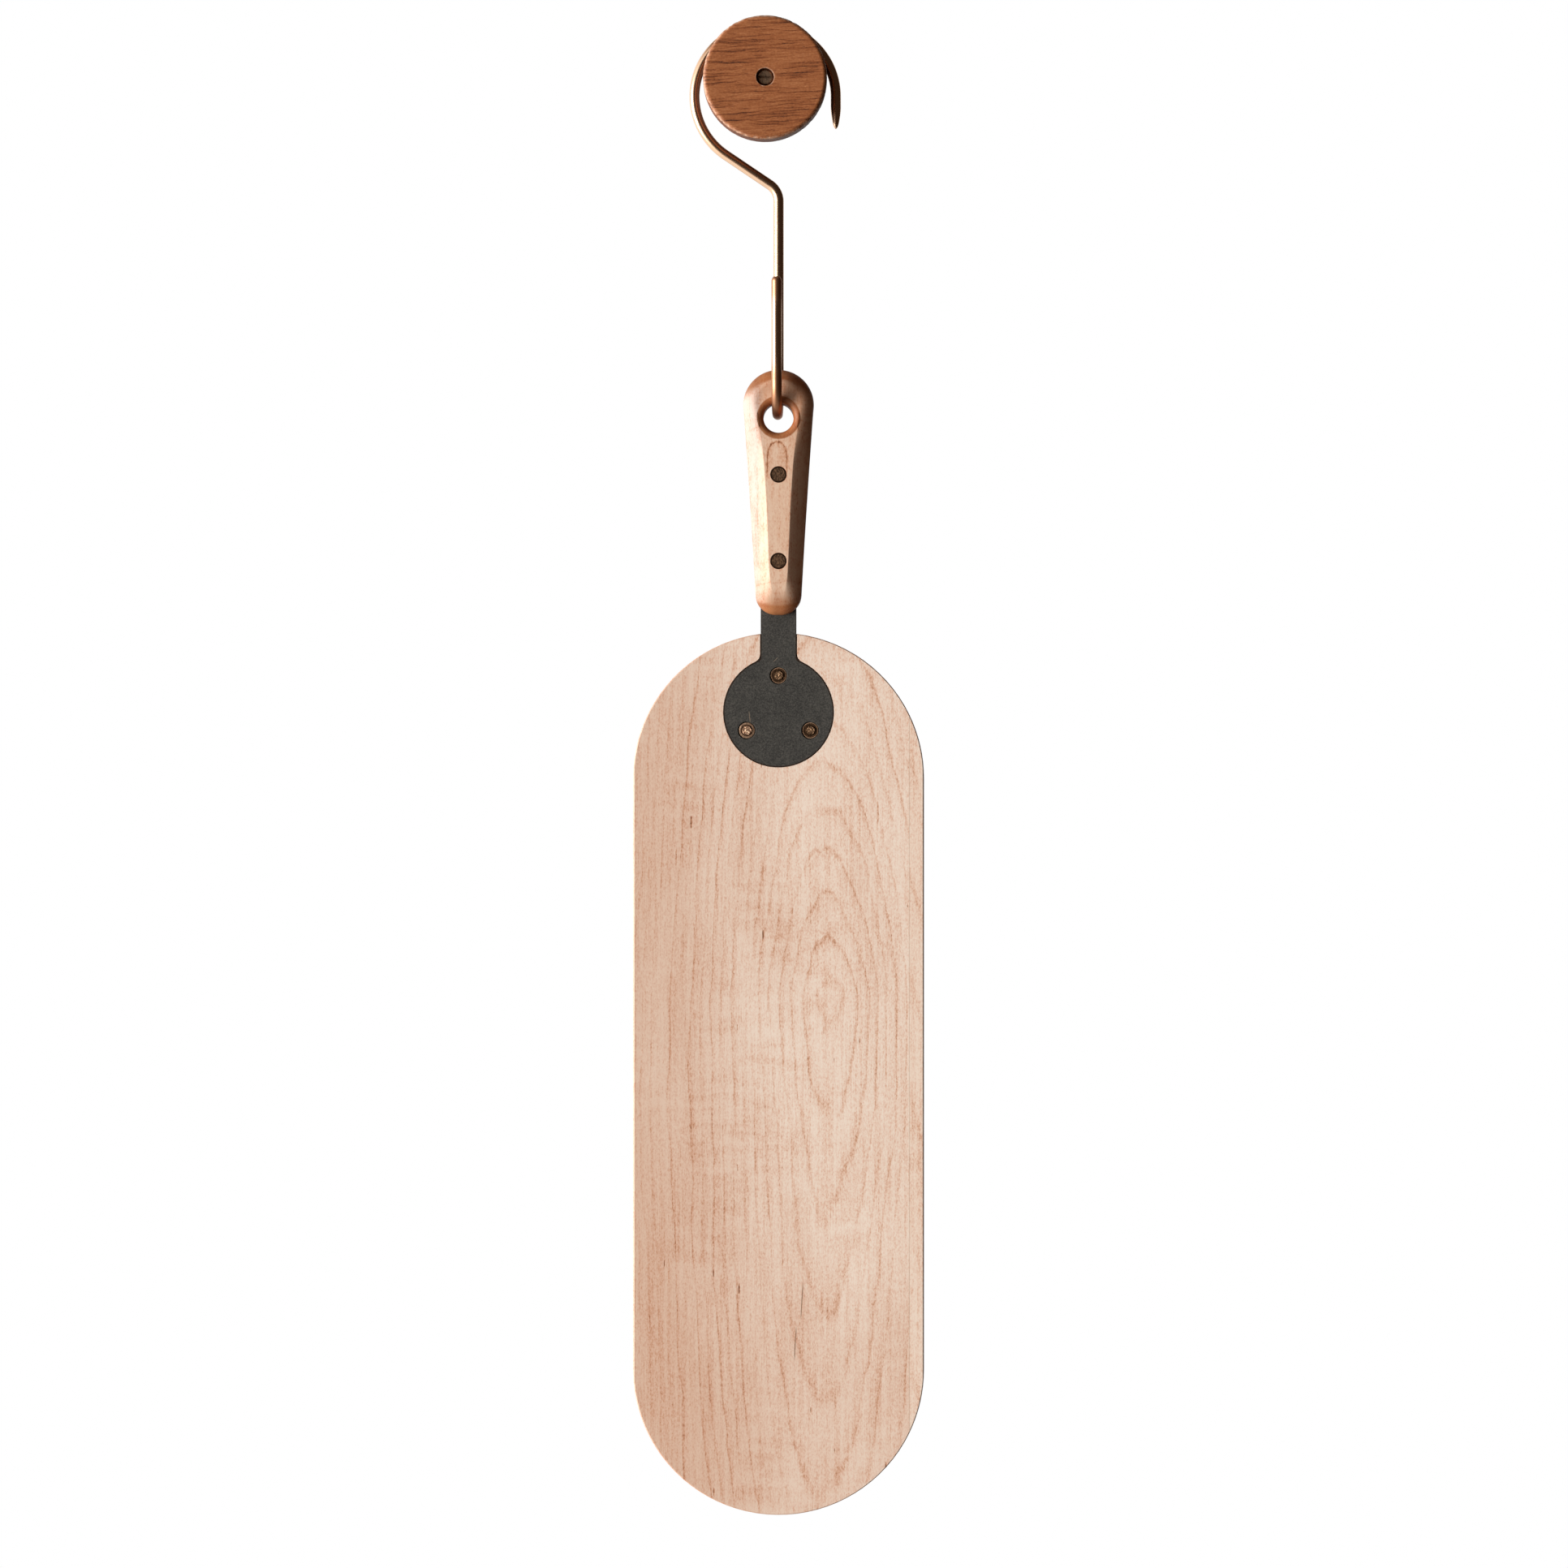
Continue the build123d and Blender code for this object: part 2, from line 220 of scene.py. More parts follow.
def make_piece(name, vertices, faces, material, body, crease=32.0):
    """A smooth-shaded mesh that rides on a body, creased where its faces turn by more than the angle."""
    mesh = bpy.data.meshes.new(name)
    mesh.from_pydata(vertices, [], faces)
    mesh.validate()
    return place_mesh(name, mesh, material, body, crease)


def place_mesh(name, mesh, material, body, crease):
    mesh.materials.append(material)
    mesh.shade_smooth()
    mesh.set_sharp_from_angle(angle=math.radians(crease))
    piece = add_object(name, mesh)
    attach(piece, body)
    return piece


def quarter(steps):
    """The angles of a quarter turn in so many steps, both ends included."""
    return [math.pi / 2 * i / steps for i in range(steps + 1)]


def lathe(profile, steps, centre):
    """Turn a closed profile of (radius, y) about an axis along Y. A radius of 0 closes the surface."""
    vertices, rings, faces = [], [], []
    for radius, y in profile:
        if radius == 0:
            rings.append([len(vertices)] * steps)
            vertices.append((centre[0], y, centre[1]))
            continue
        rings.append(list(range(len(vertices), len(vertices) + steps)))
        for step in range(steps):
            angle = 2 * math.pi * step / steps
            vertices.append((centre[0] + radius * math.cos(angle), y, centre[1] + radius * math.sin(angle)))
    pairs = list(zip(rings, rings[1:]))
    if profile[0][0] and profile[-1][0]:
        pairs.append((rings[-1], rings[0]))
    for first, second in pairs:
        for step in range(steps):
            after = (step + 1) % steps
            corners = [first[step], second[step], second[after], first[after]]
            faces.append(tuple(dict.fromkeys(corners)))
    return vertices, faces


# --- Maple ---
def ring_radius(graph, coords, seed, waver, pith_x, crown_z, depth, climb, fall, lean=0.0, blunt=1.0):
    """How far each place is from the pith, which the growth rings lie round.

    The pith stands behind the board's front face, at x = pith_x. It is nearest to the face at
    crown_z, where it is this deep, and goes deeper above and below by climb and fall, which draws
    the nested arches: pointed ones if blunt is 1, and rounder ones if it is more.
    """
    x, y, z = graph.split(coords)
    rise = graph.math("SUBTRACT", z, crown_z)
    above = graph.higher(rise, 0.0)
    below = graph.higher(graph.times(rise, -1.0), 0.0)
    behind = graph.add(
        graph.times(graph.math("POWER", above, blunt), climb),
        graph.times(graph.math("POWER", below, blunt), fall),
        depth,
    )
    inside = graph.math("SUBTRACT", y, BOARD_FRONT / MM)
    drift = graph.times(graph.noise(coords, (60, 60, 130), 2, 0.5, seed), 13 * waver)
    u = graph.add(x, -pith_x, drift, graph.times(rise, lean))
    v = graph.math("SUBTRACT", behind, inside)
    return graph.math("SQRT", graph.add(graph.times(u, u), graph.times(v, v)))


def growth_rings(graph, coords, seed, waver, radius, ring, heart):
    """The dark latewood lines of rings this wide, bolder in some years and fading here and there.

    heart is (radius, low z) or None: rings wider than it, and those below it, are faint.
    """
    wobble = graph.times(graph.noise(coords, (11, 11, 34), 3, 0.55, seed + 1), 4.0 * waver)
    ripple = graph.times(graph.noise(coords, (2.5, 2.5, 8), 2, 0.5, seed + 2), 0.7)
    years = graph.math("DIVIDE", graph.add(radius, wobble, ripple), ring)
    latewood = graph.ramp(graph.math("FRACT", years), [
        (0.0, (0.34,) * 3), (0.10, (0.04,) * 3), (0.50, (0.08,) * 3),
        (0.82, (0.36,) * 3), (0.92, (1.0,) * 3), (1.0, (0.50,) * 3),
    ])
    year = graph.add(graph.math("FLOOR", years), seed)
    chance = graph.node("TexWhiteNoise", {"W": year}, noise_dimensions="1D").outputs["Value"]
    boldness = graph.weighted(0.35, (chance, 0.75))
    steady = 0.25 * (1 - waver)
    cloud = graph.noise(coords, (14, 14, 60), 2, 0.5, seed + 3)
    fading = graph.smooth(cloud, -0.36 - steady, 0.06 - steady)
    rings = graph.times(latewood, fading, boldness)
    if heart is None:
        return rings
    widest, lowest = heart
    z = graph.split(coords)["Z"]
    within = graph.times(graph.smooth(radius, widest + 2, widest), graph.smooth(z, lowest - 5, lowest + 5))
    return graph.times(rings, graph.add(0.20, within))


def flecks(graph, x, z, cell, share, width):
    """Dark lens-shaped marks along the grain, at most one in each cell of this size."""
    places = graph.stretched(graph.flat(x, z), (*cell, 1))
    cells = graph.node("TexVoronoi", {"Vector": places, "Scale": 1.0}, voronoi_dimensions="2D")
    chance = graph.node("SeparateColor", {"Color": cells.outputs["Color"]}).outputs["Red"]
    reach = graph.times(graph.higher(graph.math("SUBTRACT", chance, 1 - share), 0.0), width / share)
    return graph.smooth(graph.math("SUBTRACT", cells.outputs["Distance"], reach), 0.003, -0.006)


def hairline(graph, x, z, start, high, slope, width):
    """A thin mark from its low end start, (x, z), up to z = high, which drifts right by slope."""
    low = start[1]
    aside = graph.size(graph.add(x, -start[0], graph.times(graph.add(z, -low), -slope)))
    fade = 0.25 * (high - low)
    ends = graph.times(graph.smooth(z, low, low + fade), graph.smooth(z, high, high - fade))
    return graph.times(graph.smooth(aside, width, 0.25 * width), ends)


def handle_stain_and_shadow(graph, x, z, patch):
    """Where the handle is darkened: round its hanging hole's rim and at its foot by staining from oil and
    hands, and above the hole partly by staining and partly as painted shadow of the hook's leg.
    """
    hole_x, hole_z = HANDLE_X / MM, HANG_HOLE_Z / MM
    rim_r = 12.0
    rim = graph.smooth(graph.distance(x, z, (hole_x, hole_z)), rim_r, rim_r - 0.9)
    beside = graph.size(graph.add(x, -hole_x))
    # Painted shadow in part: above the hole this darkening also stands in for the shadow of the hook's leg.
    above = graph.times(graph.smooth(z, hole_z + 2, hole_z + 17), graph.smooth(beside, 19, 8), 0.50)
    foot_z = handle_low.z / MM
    foot = graph.smooth(graph.add(z, graph.times(patch, 12)), foot_z + 15, foot_z + 3)
    return graph.higher(graph.higher(rim, above), graph.times(foot, 0.80))


def maple(name, seed, ring, growth, waver=1.0, heart=None, line=1.0, mottle=0.0, base=(1.0, 1.0, 1.0),
          tone=None, lit_side_x=None, end_stain=0.35, stains_and_shadows=None, cracks=()):
    """Plain-sawn maple with its grain along Z, in millimetres.

    ring is the growth rings' width, growth says how they lie, as in ring_radius, and waver is how
    unevenly they run. line is how dark they are, and mottle how cloudy the wood is. base tints all
    of it. tone is (x where the wood is palest, x where it has the tint, tint), and the tint also deepens
    towards the bottom: on the board this is partly the wood's own colour and partly painted falloff of
    light, and on the handle it is painted shade on its shaded right side. Left of the x given for the
    lit side the wood is creamier, painted light on the handle's lit left side. end_stain is how much
    darker the end grain is, and so are the places that the given function of (graph, x, z, patch)
    marks from 0 to 1: real staining, and on the handle partly painted shadow. cracks are (x, low z,
    high z).
    """
    material, graph = new_material(name)
    coords = graph.millimetres()
    x, y, z = graph.split(coords)
    radius = ring_radius(graph, coords, seed, waver, **growth)
    rings = growth_rings(graph, coords, seed, waver, radius, ring, heart)
    fibre = graph.noise(coords, (0.42, 0.42, 15), 3, 0.6, seed + 4)
    strand = graph.noise(coords, (1.7, 1.7, 75), 3, 0.6, seed + 5)
    speckle = graph.noise(coords, (0.65, 0.65, 1.3), 2, 0.6, seed + 6)
    patch = graph.noise(coords, (34, 34, 80), 3, 0.5, seed + 7)
    curl = graph.times(
        graph.noise(coords, (34, 34, 8), 2, 0.5, seed + 8),
        graph.smooth(graph.noise(coords, (45, 45, 60), 1, 0.5, seed + 9), -0.04, 0.16),
    )
    cloud = graph.noise(coords, (5.5, 5.5, 9.0), 3, 0.6, seed + 11)
    fleck = flecks(graph, x, z, (13, 80), 0.24, 0.050)
    streak = flecks(graph, graph.add(x, 400.0), z, (21, 300), 0.62, 0.030)
    darkness = graph.weighted(
        0.21,
        (cloud, mottle),
        (rings, 0.40 * line),
        (fibre, 0.70),
        (strand, 0.80),
        (speckle, 1.50),
        (patch, 0.36),
        (curl, 0.85),
        (fleck, 0.56),
        (streak, 0.30),
    )
    colour = graph.ramp(darkness, [
        (0.0, (0.98, 0.800, 0.655)), (0.30, (0.925, 0.690, 0.540)), (0.54, (0.84, 0.535, 0.380)),
        (0.78, (0.66, 0.345, 0.205)), (1.0, (0.30, 0.130, 0.065)),
    ])
    colour = graph.mix(1.0, colour, base, "MULTIPLY")
    # Painted light: the wood left of the given x, the handle's lit left side, is made creamier.
    if lit_side_x is not None:
        lit_side_cream = graph.smooth(x, lit_side_x + 2, lit_side_x - 3)
        colour = graph.mix(lit_side_cream, colour, (0.80, 0.86, 0.99), "MULTIPLY")
    # Painted light in part: the tint darkens the board towards the left and the bottom, partly its own
    # colour and partly painted falloff of light, and darkens the handle's shaded right side as painted
    # shade.
    if tone is not None:
        pale_x, warm_x, tint = tone
        lower = graph.times(graph.smooth(z, -560, -770), 0.50)
        slow = graph.add(graph.smooth(x, pale_x, warm_x), lower)
        tint_and_shade = graph.math("ADD", slow, graph.times(patch, 0.9), clamp=True)
        colour = graph.mix(tint_and_shade, colour, tint, "MULTIPLY")
    seam = graph.smooth(graph.size(graph.add(x, -GLUE_X / MM)), 0.3, 0.05)
    colour = graph.mix(graph.times(seam, 0.35), colour, (0.46, 0.29, 0.18))
    uneven = graph.times(graph.noise(coords, (3, 3, 6), 2, 0.5, seed + 10), 0.8)
    for crack_x, low, high in cracks:
        mark = hairline(graph, graph.add(x, uneven), z, (crack_x, low), high, 0.06, 0.42)
        colour = graph.mix(graph.times(mark, 0.8), colour, (0.25, 0.12, 0.06))
    stain_and_shade = graph.smooth(graph.facing("Z"), 0.05, 0.46)
    # On the handle this extra darkening also holds painted shadow above its hanging hole.
    if stains_and_shadows is not None:
        stain_and_shade = graph.higher(stain_and_shade, stains_and_shadows(graph, x, z, patch))
    colour = graph.mix(graph.times(stain_and_shade, end_stain), colour, (0.50, 0.280, 0.150), "MULTIPLY")
    height = graph.weighted(
        0.0,
        (fibre, 1.0),
        (rings, -0.5),
        (speckle, 0.8),
        (fleck, -1.5),
    )
    roughness = graph.weighted(0.50, (fibre, 0.25), (rings, -0.08))
    surface(graph, colour, roughness, height, 0.00005, 0.45, Specular_IOR_Level=0.32)
    return material


board_maple = maple(
    "board_maple", seed=3.0, ring=5.0,
    growth=dict(pith_x=33, crown_z=-488, depth=13, climb=0.215, fall=0.10),
    # Darker towards the left and the bottom: partly the wood's own colour, partly painted falloff of light.
    base=(1.02, 1.05, 1.08), tone=(38, -84, (0.83, 0.705, 0.635)),
    cracks=((19.0, -662, -640), (15.5, -684, -664)),
)
strip_maple = maple(
    "strip_maple", seed=11.0, ring=15,
    growth=dict(pith_x=20, crown_z=-488, depth=6, climb=0.02, fall=0.02, lean=0.24),
    base=(1.01, 1.02, 1.03), line=0.7,
)
handle_maple = maple(
    "handle_maple", seed=23.0, ring=5.6,
    growth=dict(pith_x=6.15, crown_z=-216, depth=-9.0, climb=0.00050, fall=0.00011, blunt=3.0),
    # Painted light: the tone darkens the handle's shaded right side, and the x after it makes its lit left
    # side creamier.
    base=(0.885, 0.775, 0.69), tone=(9, 27, (0.80, 0.62, 0.50)), lit_side_x=-2.0,
    waver=0.20, heart=(7.0, -214), line=2.8, mottle=1.2, end_stain=1.0, stains_and_shadows=handle_stain_and_shadow,
)


# --- Oak ---
def oak(name, seed, stain_and_shade=(1.0, 1.0, 1.0)):
    """Open-grained oak with its grain along X, oiled red-brown.

    The attributes pore and wear hold its deep grooves and the pale broken wood along its rim.
    """
    material, graph = new_material(name)
    coords = graph.millimetres()
    along = graph.node("VectorRotate", {"Vector": coords, "Angle": math.radians(3.5)},
                       rotation_type="Y_AXIS").outputs[0]
    slow = graph.noise(along, (30, 5, 4), 2, 0.5, seed)
    streak = graph.noise(along, (13, 0.9, 0.75), 3, 0.6, seed + 1)
    fibre = graph.noise(along, (5, 0.30, 0.26), 2, 0.6, seed + 2)
    dashes = graph.smooth(graph.noise(along, (3.2, 0.34, 0.30), 2, 0.5, seed + 4), 0.12, 0.26)
    cross = graph.noise(along, (1.2, 0.9, 0.8), 2, 0.5, seed + 3)
    pore = graph.node("Attribute", attribute_name="pore").outputs["Fac"]
    wear = graph.node("Attribute", attribute_name="wear").outputs["Fac"]
    darkness = graph.weighted(
        0.42,
        (slow, 0.42),
        (streak, 0.75),
        (fibre, 0.70),
        (dashes, 0.28),
        (cross, 0.55),
        (pore, 0.46),
    )
    colour = graph.ramp(darkness, [
        (0.0, (0.56, 0.235, 0.098)), (0.40, (0.370, 0.124, 0.042)), (0.62, (0.265, 0.077, 0.023)),
        (0.85, (0.11, 0.031, 0.010)), (1.0, (0.04, 0.012, 0.006)),
    ])
    # Painted shade: surfaces that face sideways, the side walls of the disc and neck and the screw seat's
    # wall, are darkened to stand in for the shade on them.
    colour = graph.mix(graph.smooth(graph.facing("Y"), 0.40, 0.12), colour, (0.46, 0.40, 0.36), "MULTIPLY")
    colour = graph.mix(wear, colour, (0.88, 0.62, 0.45))
    colour = graph.mix(1.0, colour, stain_and_shade, "MULTIPLY")
    height = graph.weighted(0.0, (streak, 0.8), (fibre, 0.6), (dashes, -0.6))
    roughness = graph.weighted(0.55, (fibre, 0.3), (pore, 0.2))
    surface(graph, colour, roughness, height, 0.00016, 0.9, Specular_IOR_Level=0.30)
    return material


knob_oak = oak("knob_oak", 50.0)
# Painted shade: the hidden neck between the disc and the wall is darkened all over to stand in for the shade
# there and for its dark reflection in the hook.
neck_oak = oak("neck_oak", 57.0, stain_and_shade=(0.28, 0.22, 0.19))


# --- Brass and copper ---
def brass(name, seed, bright, dull, roughness, patina, spot=1.2, relief=0.5, tarnish_and_painted_light=None,
          brown=(0.46, 0.215, 0.110)):
    """Brass or copper whose dull patina comes in patches of the size spot, in millimetres.

    The function given for tarnishing says where the metal takes the colour brown and is less shiny, from
    0 to 1: real tarnishing on the pins and rivets, brown at the top of the hook's front leg, a painted
    reflection of the handle's wood low on that leg and a painted highlight round the dark burrs' rims.
    relief is how deep its dents and fine scratches are.
    """
    material, graph = new_material(name)
    coords = graph.millimetres()
    cloud = graph.noise(coords, (spot, spot, spot * 1.8), 3, 0.6, seed)
    grit = graph.noise(coords, (spot / 6, spot / 6, spot / 5), 3, 0.65, seed + 1)
    scratch = graph.noise(coords, (0.14, 0.14, 4.0), 2, 0.6, seed + 2)
    age = graph.smooth(graph.add(cloud, graph.times(grit, 0.8)), 0.24 - patina, 0.52 - patina)
    colour = graph.mix(age, bright, dull)
    rough = graph.weighted(roughness, (age, 0.22), (grit, 0.12), (scratch, 0.2 * relief))
    # Partly painted light: besides real tarnishing, this paints a reflection on the hook's leg and a
    # highlight on the dark burrs' rims.
    if tarnish_and_painted_light is not None:
        tarnish_and_light_mask = graph.math("ADD", tarnish_and_painted_light(graph, coords), graph.times(grit, 0.25), clamp=True)
        colour = graph.mix(tarnish_and_light_mask, colour, brown)
        rough = graph.weighted(rough, (tarnish_and_light_mask, 0.20))
    height = graph.weighted(0.0, (cloud, 1.0), (grit, 0.16), (scratch, 0.2 * relief))
    surface(graph, colour, rough, height, 0.00010, relief, Metallic=1.0)
    return material


def leg_brown_and_reflection(graph, coords):
    """Brown at the top of the hook's front leg, and from low on that leg round the bend in the handle, where
    the brown is a painted reflection of the handle's wood.
    """
    x, y, z = graph.split(coords)
    leg = graph.smooth(y, -39, -42)
    high = graph.times(leg, graph.smooth(z, -126, -115))
    # Painted reflection: low on the leg and round the bend, the handle's wood mirrored in the rod.
    low = graph.smooth(z, -146, -160)
    return graph.times(graph.higher(high, low), 0.9)


def rim_of(places, inner, outer):
    """A ring between two radii in millimetres about each place, (x, z) in metres: tarnished metal on the
    pins and rivets, and a painted highlight on the dark burrs.
    """
    def cover(graph, coords):
        x, y, z = graph.split(coords)
        nearest = 1000.0
        for place_x, place_z in places:
            away = graph.distance(x, z, (place_x / MM, place_z / MM))
            nearest = graph.math("MINIMUM", nearest, away)
        return graph.times(graph.smooth(nearest, inner - 0.25, inner + 0.15),
                           graph.smooth(nearest, outer + 0.2, outer))
    return cover


hook_brass = brass(
    "hook_brass", 2.0, (0.84, 0.57, 0.38), (0.62, 0.36, 0.21), roughness=0.25, patina=0.0,
    spot=6, relief=0.08, tarnish_and_painted_light=leg_brown_and_reflection,
)
pin_brass = brass(
    "pin_brass", 5.0, (0.44, 0.255, 0.145), (0.070, 0.042, 0.026), roughness=0.46, patina=0.42,
    spot=0.8, relief=0.8, tarnish_and_painted_light=rim_of(PINS, 3.5, 4.4), brown=(0.050, 0.028, 0.016),
)
screw_brass = brass(
    "screw_brass", 8.0, (0.54, 0.36, 0.23), (0.09, 0.060, 0.040), roughness=0.38, patina=0.34,
)
rivet_bright = brass(
    "rivet_bright", 12.0, (0.98, 0.64, 0.43), (0.55, 0.30, 0.17), roughness=0.40, patina=0.22,
    spot=0.9, relief=1.0, tarnish_and_painted_light=rim_of(RIVETS, 2.35, 3.0), brown=(0.12, 0.060, 0.032),
)
rivet_dark = brass(
    "rivet_dark", 15.0, (0.50, 0.31, 0.18), (0.085, 0.048, 0.028), roughness=0.46, patina=0.36,
    spot=0.9, relief=1.0, tarnish_and_painted_light=rim_of(RIVETS, 2.2, 3.0), brown=(0.050, 0.026, 0.014),
)
burr_bright = brass(
    "burr_bright", 18.0, (1.0, 0.68, 0.46), (0.60, 0.34, 0.20), roughness=0.40, patina=0.10,
    spot=1.0, relief=0.8, tarnish_and_painted_light=rim_of(RIVETS, 2.2, 3.1), brown=(0.12, 0.060, 0.032),
)
# Painted highlight: the pale ring along these burrs' rims stands in for light caught by their edges.
burr_dark = brass(
    "burr_dark", 21.0, (0.20, 0.110, 0.060), (0.040, 0.022, 0.012), roughness=0.50, patina=0.40,
    spot=1.0, relief=0.8, tarnish_and_painted_light=rim_of(RIVETS, 3.95, 4.4), brown=(0.62, 0.42, 0.28),
)

# --- Steel and nylon ---
# Each scratch: its low end (x, z) in millimetres, the z of its high end, and its slope.
PLATE_SCRATCHES = (((-7.8, -343.5), -336.5, -0.12), ((4.2, -311.0), -308.0, 1.0))


def plate_gap_shade(graph, x, z):
    """1 along the plate's outline, where it meets the gap round it: a disc and the strap above it, which run
    into each other softly.
    """
    centre = (BOARD_X / MM, PLATE_DISC_Z / MM)
    disc = graph.math("SUBTRACT", graph.distance(x, z, centre), PLATE_DISC_R / MM)
    strap = graph.math("SUBTRACT", graph.size(graph.add(x, -centre[0])), STRAP_WIDTH / MM / 2)
    strap = graph.higher(strap, graph.math("SUBTRACT", centre[1], z))
    corner_r = 3.0
    return graph.smooth(graph.math("SMOOTH_MIN", disc, strap, corner_r), -0.62, -0.22)


def blackened_steel(name, seed):
    """Blackened steel: matte, finely mottled, with a few rubbed spots and thin scratches."""
    material, graph = new_material(name)
    coords = graph.millimetres()
    x, y, z = graph.split(coords)
    cloud = graph.noise(coords, (11, 11, 13), 3, 0.55, seed)
    grit = graph.noise(coords, (0.7, 0.7, 0.7), 3, 0.65, seed + 1)
    rust = graph.smooth(graph.noise(coords, (2.2, 2.2, 2.2), 3, 0.6, seed + 2), 0.20, 0.32)
    scratch_up = graph.smooth(graph.noise(coords, (0.16, 0.5, 14), 1, 0.5, seed + 3), 0.31, 0.40)
    scratch_across = graph.smooth(graph.noise(coords, (6, 0.5, 0.18), 1, 0.5, seed + 4), 0.33, 0.42)
    scratch = graph.higher(scratch_up, scratch_across)
    speck = graph.smooth(graph.noise(coords, (0.32, 0.32, 0.32), 1, 0.5, seed + 5), 0.26, 0.36)
    edge = plate_gap_shade(graph, x, z)
    tone = graph.weighted(0.5, (cloud, 0.9), (grit, 3.2))
    colour = graph.ramp(tone, [
        (0.0, (0.040, 0.038, 0.035)), (0.5, (0.072, 0.069, 0.062)), (1.0, (0.115, 0.108, 0.095)),
    ])
    colour = graph.mix(graph.times(speck, 0.35), colour, (0.22, 0.185, 0.145))
    colour = graph.mix(graph.times(rust, 0.35), colour, (0.13, 0.075, 0.040))
    colour = graph.mix(graph.times(scratch, 0.30), colour, (0.24, 0.20, 0.16))
    for start, high, slope in PLATE_SCRATCHES:
        mark = hairline(graph, x, z, start, high, slope, 0.28)
        colour = graph.mix(graph.times(mark, 0.7), colour, (0.36, 0.27, 0.19))
    # Painted shade: the near-black brown along the outline stands in for the shade in the gap round the
    # plate.
    colour = graph.mix(edge, colour, (0.030, 0.016, 0.009))
    rough = graph.weighted(0.60, (grit, 0.25), (scratch, -0.15), (edge, 0.2))
    height = graph.weighted(0.0, (grit, 0.5), (cloud, 0.4), (scratch, -0.4))
    surface(graph, colour, rough, height, 0.00008, 0.5, Metallic=0.35, Specular_IOR_Level=0.3)
    return material


def nylon(name, seed):
    """Grey moulded nylon with a faint spark-eroded texture."""
    material, graph = new_material(name)
    coords = graph.millimetres()
    cloud = graph.noise(coords, (4, 4, 4), 2, 0.5, seed)
    grain = graph.noise(coords, (0.25, 0.25, 0.25), 2, 0.6, seed + 1)
    tone = graph.weighted(0.5, (cloud, 0.5), (grain, 0.3))
    colour = graph.ramp(tone, [(0.0, (0.44, 0.44, 0.42)), (1.0, (0.60, 0.60, 0.575))])
    rough = graph.weighted(0.45, (grain, 0.2))
    surface(graph, colour, rough, grain, 0.00004, 0.5, Subsurface_Weight=0.1,
            Subsurface_Radius=(0.002, 0.002, 0.002))
    return material


# --- CAD nodes that stay: their materials and softened edges ---
for node_name, material in {
    "board_main": board_maple,
    "board_edge_strip": strip_maple,
    "tang_plate": blackened_steel("blackened_steel", 30.0),
    "handle_pin_upper": pin_brass,
    "handle_pin_lower": pin_brass,
    "wall_screw": screw_brass,
    "wall_plug": nylon("plug_nylon", 40.0),
    "knob_neck": neck_oak,
}.items():
    materials = nodes[node_name].data.materials
    materials.clear()
    materials.append(material)


def soften(node_name, width):
    """Break a CAD node's sharp edges, as sanding or use does."""
    node = nodes[node_name]
    node.modifiers.new("weld", "WELD").merge_threshold = 0.002 * MM
    flat = node.modifiers.new("flat", "DECIMATE")
    flat.decimate_type = "DISSOLVE"
    flat.angle_limit = math.radians(1.5)
    bevel = node.modifiers.new("bevel", "BEVEL")
    bevel.width = width
    bevel.segments = 2
    bevel.limit_method = "ANGLE"
    bevel.angle_limit = math.radians(35)
    bevel.loop_slide = False
    bevel.harden_normals = True


soften("board_main", 0.30 * MM)
soften("board_edge_strip", 0.12 * MM)
soften("tang_plate", 0.18 * MM)


# --- Knob face: turned oak with open pores and a chipped rim ---
FACE_R = face_high.x
FACE_FRONT_ROUND = 2.2 * MM
FACE_BACK_ROUND = 1.0 * MM
RIM_ROUNDNESS = 1.06
SEAT_R = 4.75 * MM
SEAT_DEPTH = 4.4 * MM
SEAT_ROUND = 0.25 * MM
SCREW_HOLE_R = 2.6 * MM
FACE_STEPS = 460
FACE_RINGS = 84
SIDE_RINGS = 14
GROOVES = 150


def knob_face_profile():
    """The closed section of the disc, from its screw hole's back round by the rim."""
    section = [(SCREW_HOLE_R, face_high.y)]
    section += [(radius * MM, face_high.y) for radius in range(6, 32, 5)]
    for angle in quarter(5):
        section.append((FACE_R - FACE_BACK_ROUND * (1 - math.sin(angle)),
                        face_high.y - FACE_BACK_ROUND * (1 - math.cos(angle))))
    side_back = face_high.y - FACE_BACK_ROUND
    side_front = face_low.y + FACE_FRONT_ROUND
    for i in range(1, SIDE_RINGS):
        section.append((FACE_R, side_back + (side_front - side_back) * i / SIDE_RINGS))
    for angle in quarter(8):
        section.append((FACE_R - FACE_FRONT_ROUND * (1 - math.cos(angle) ** RIM_ROUNDNESS),
                        side_front - FACE_FRONT_ROUND * math.sin(angle) ** RIM_ROUNDNESS))
    flat_r = FACE_R - FACE_FRONT_ROUND
    lip_r = SEAT_R + SEAT_ROUND
    for i in range(1, FACE_RINGS + 1):
        section.append((flat_r + (lip_r - flat_r) * i / FACE_RINGS, face_low.y))
    lip = 0.28 * SEAT_ROUND
    section += [(SEAT_R + lip, face_low.y + lip), (SEAT_R, face_low.y + SEAT_ROUND)]
    section += [(SEAT_R, face_low.y + SEAT_DEPTH), (SCREW_HOLE_R, face_low.y + SEAT_DEPTH)]
    return section


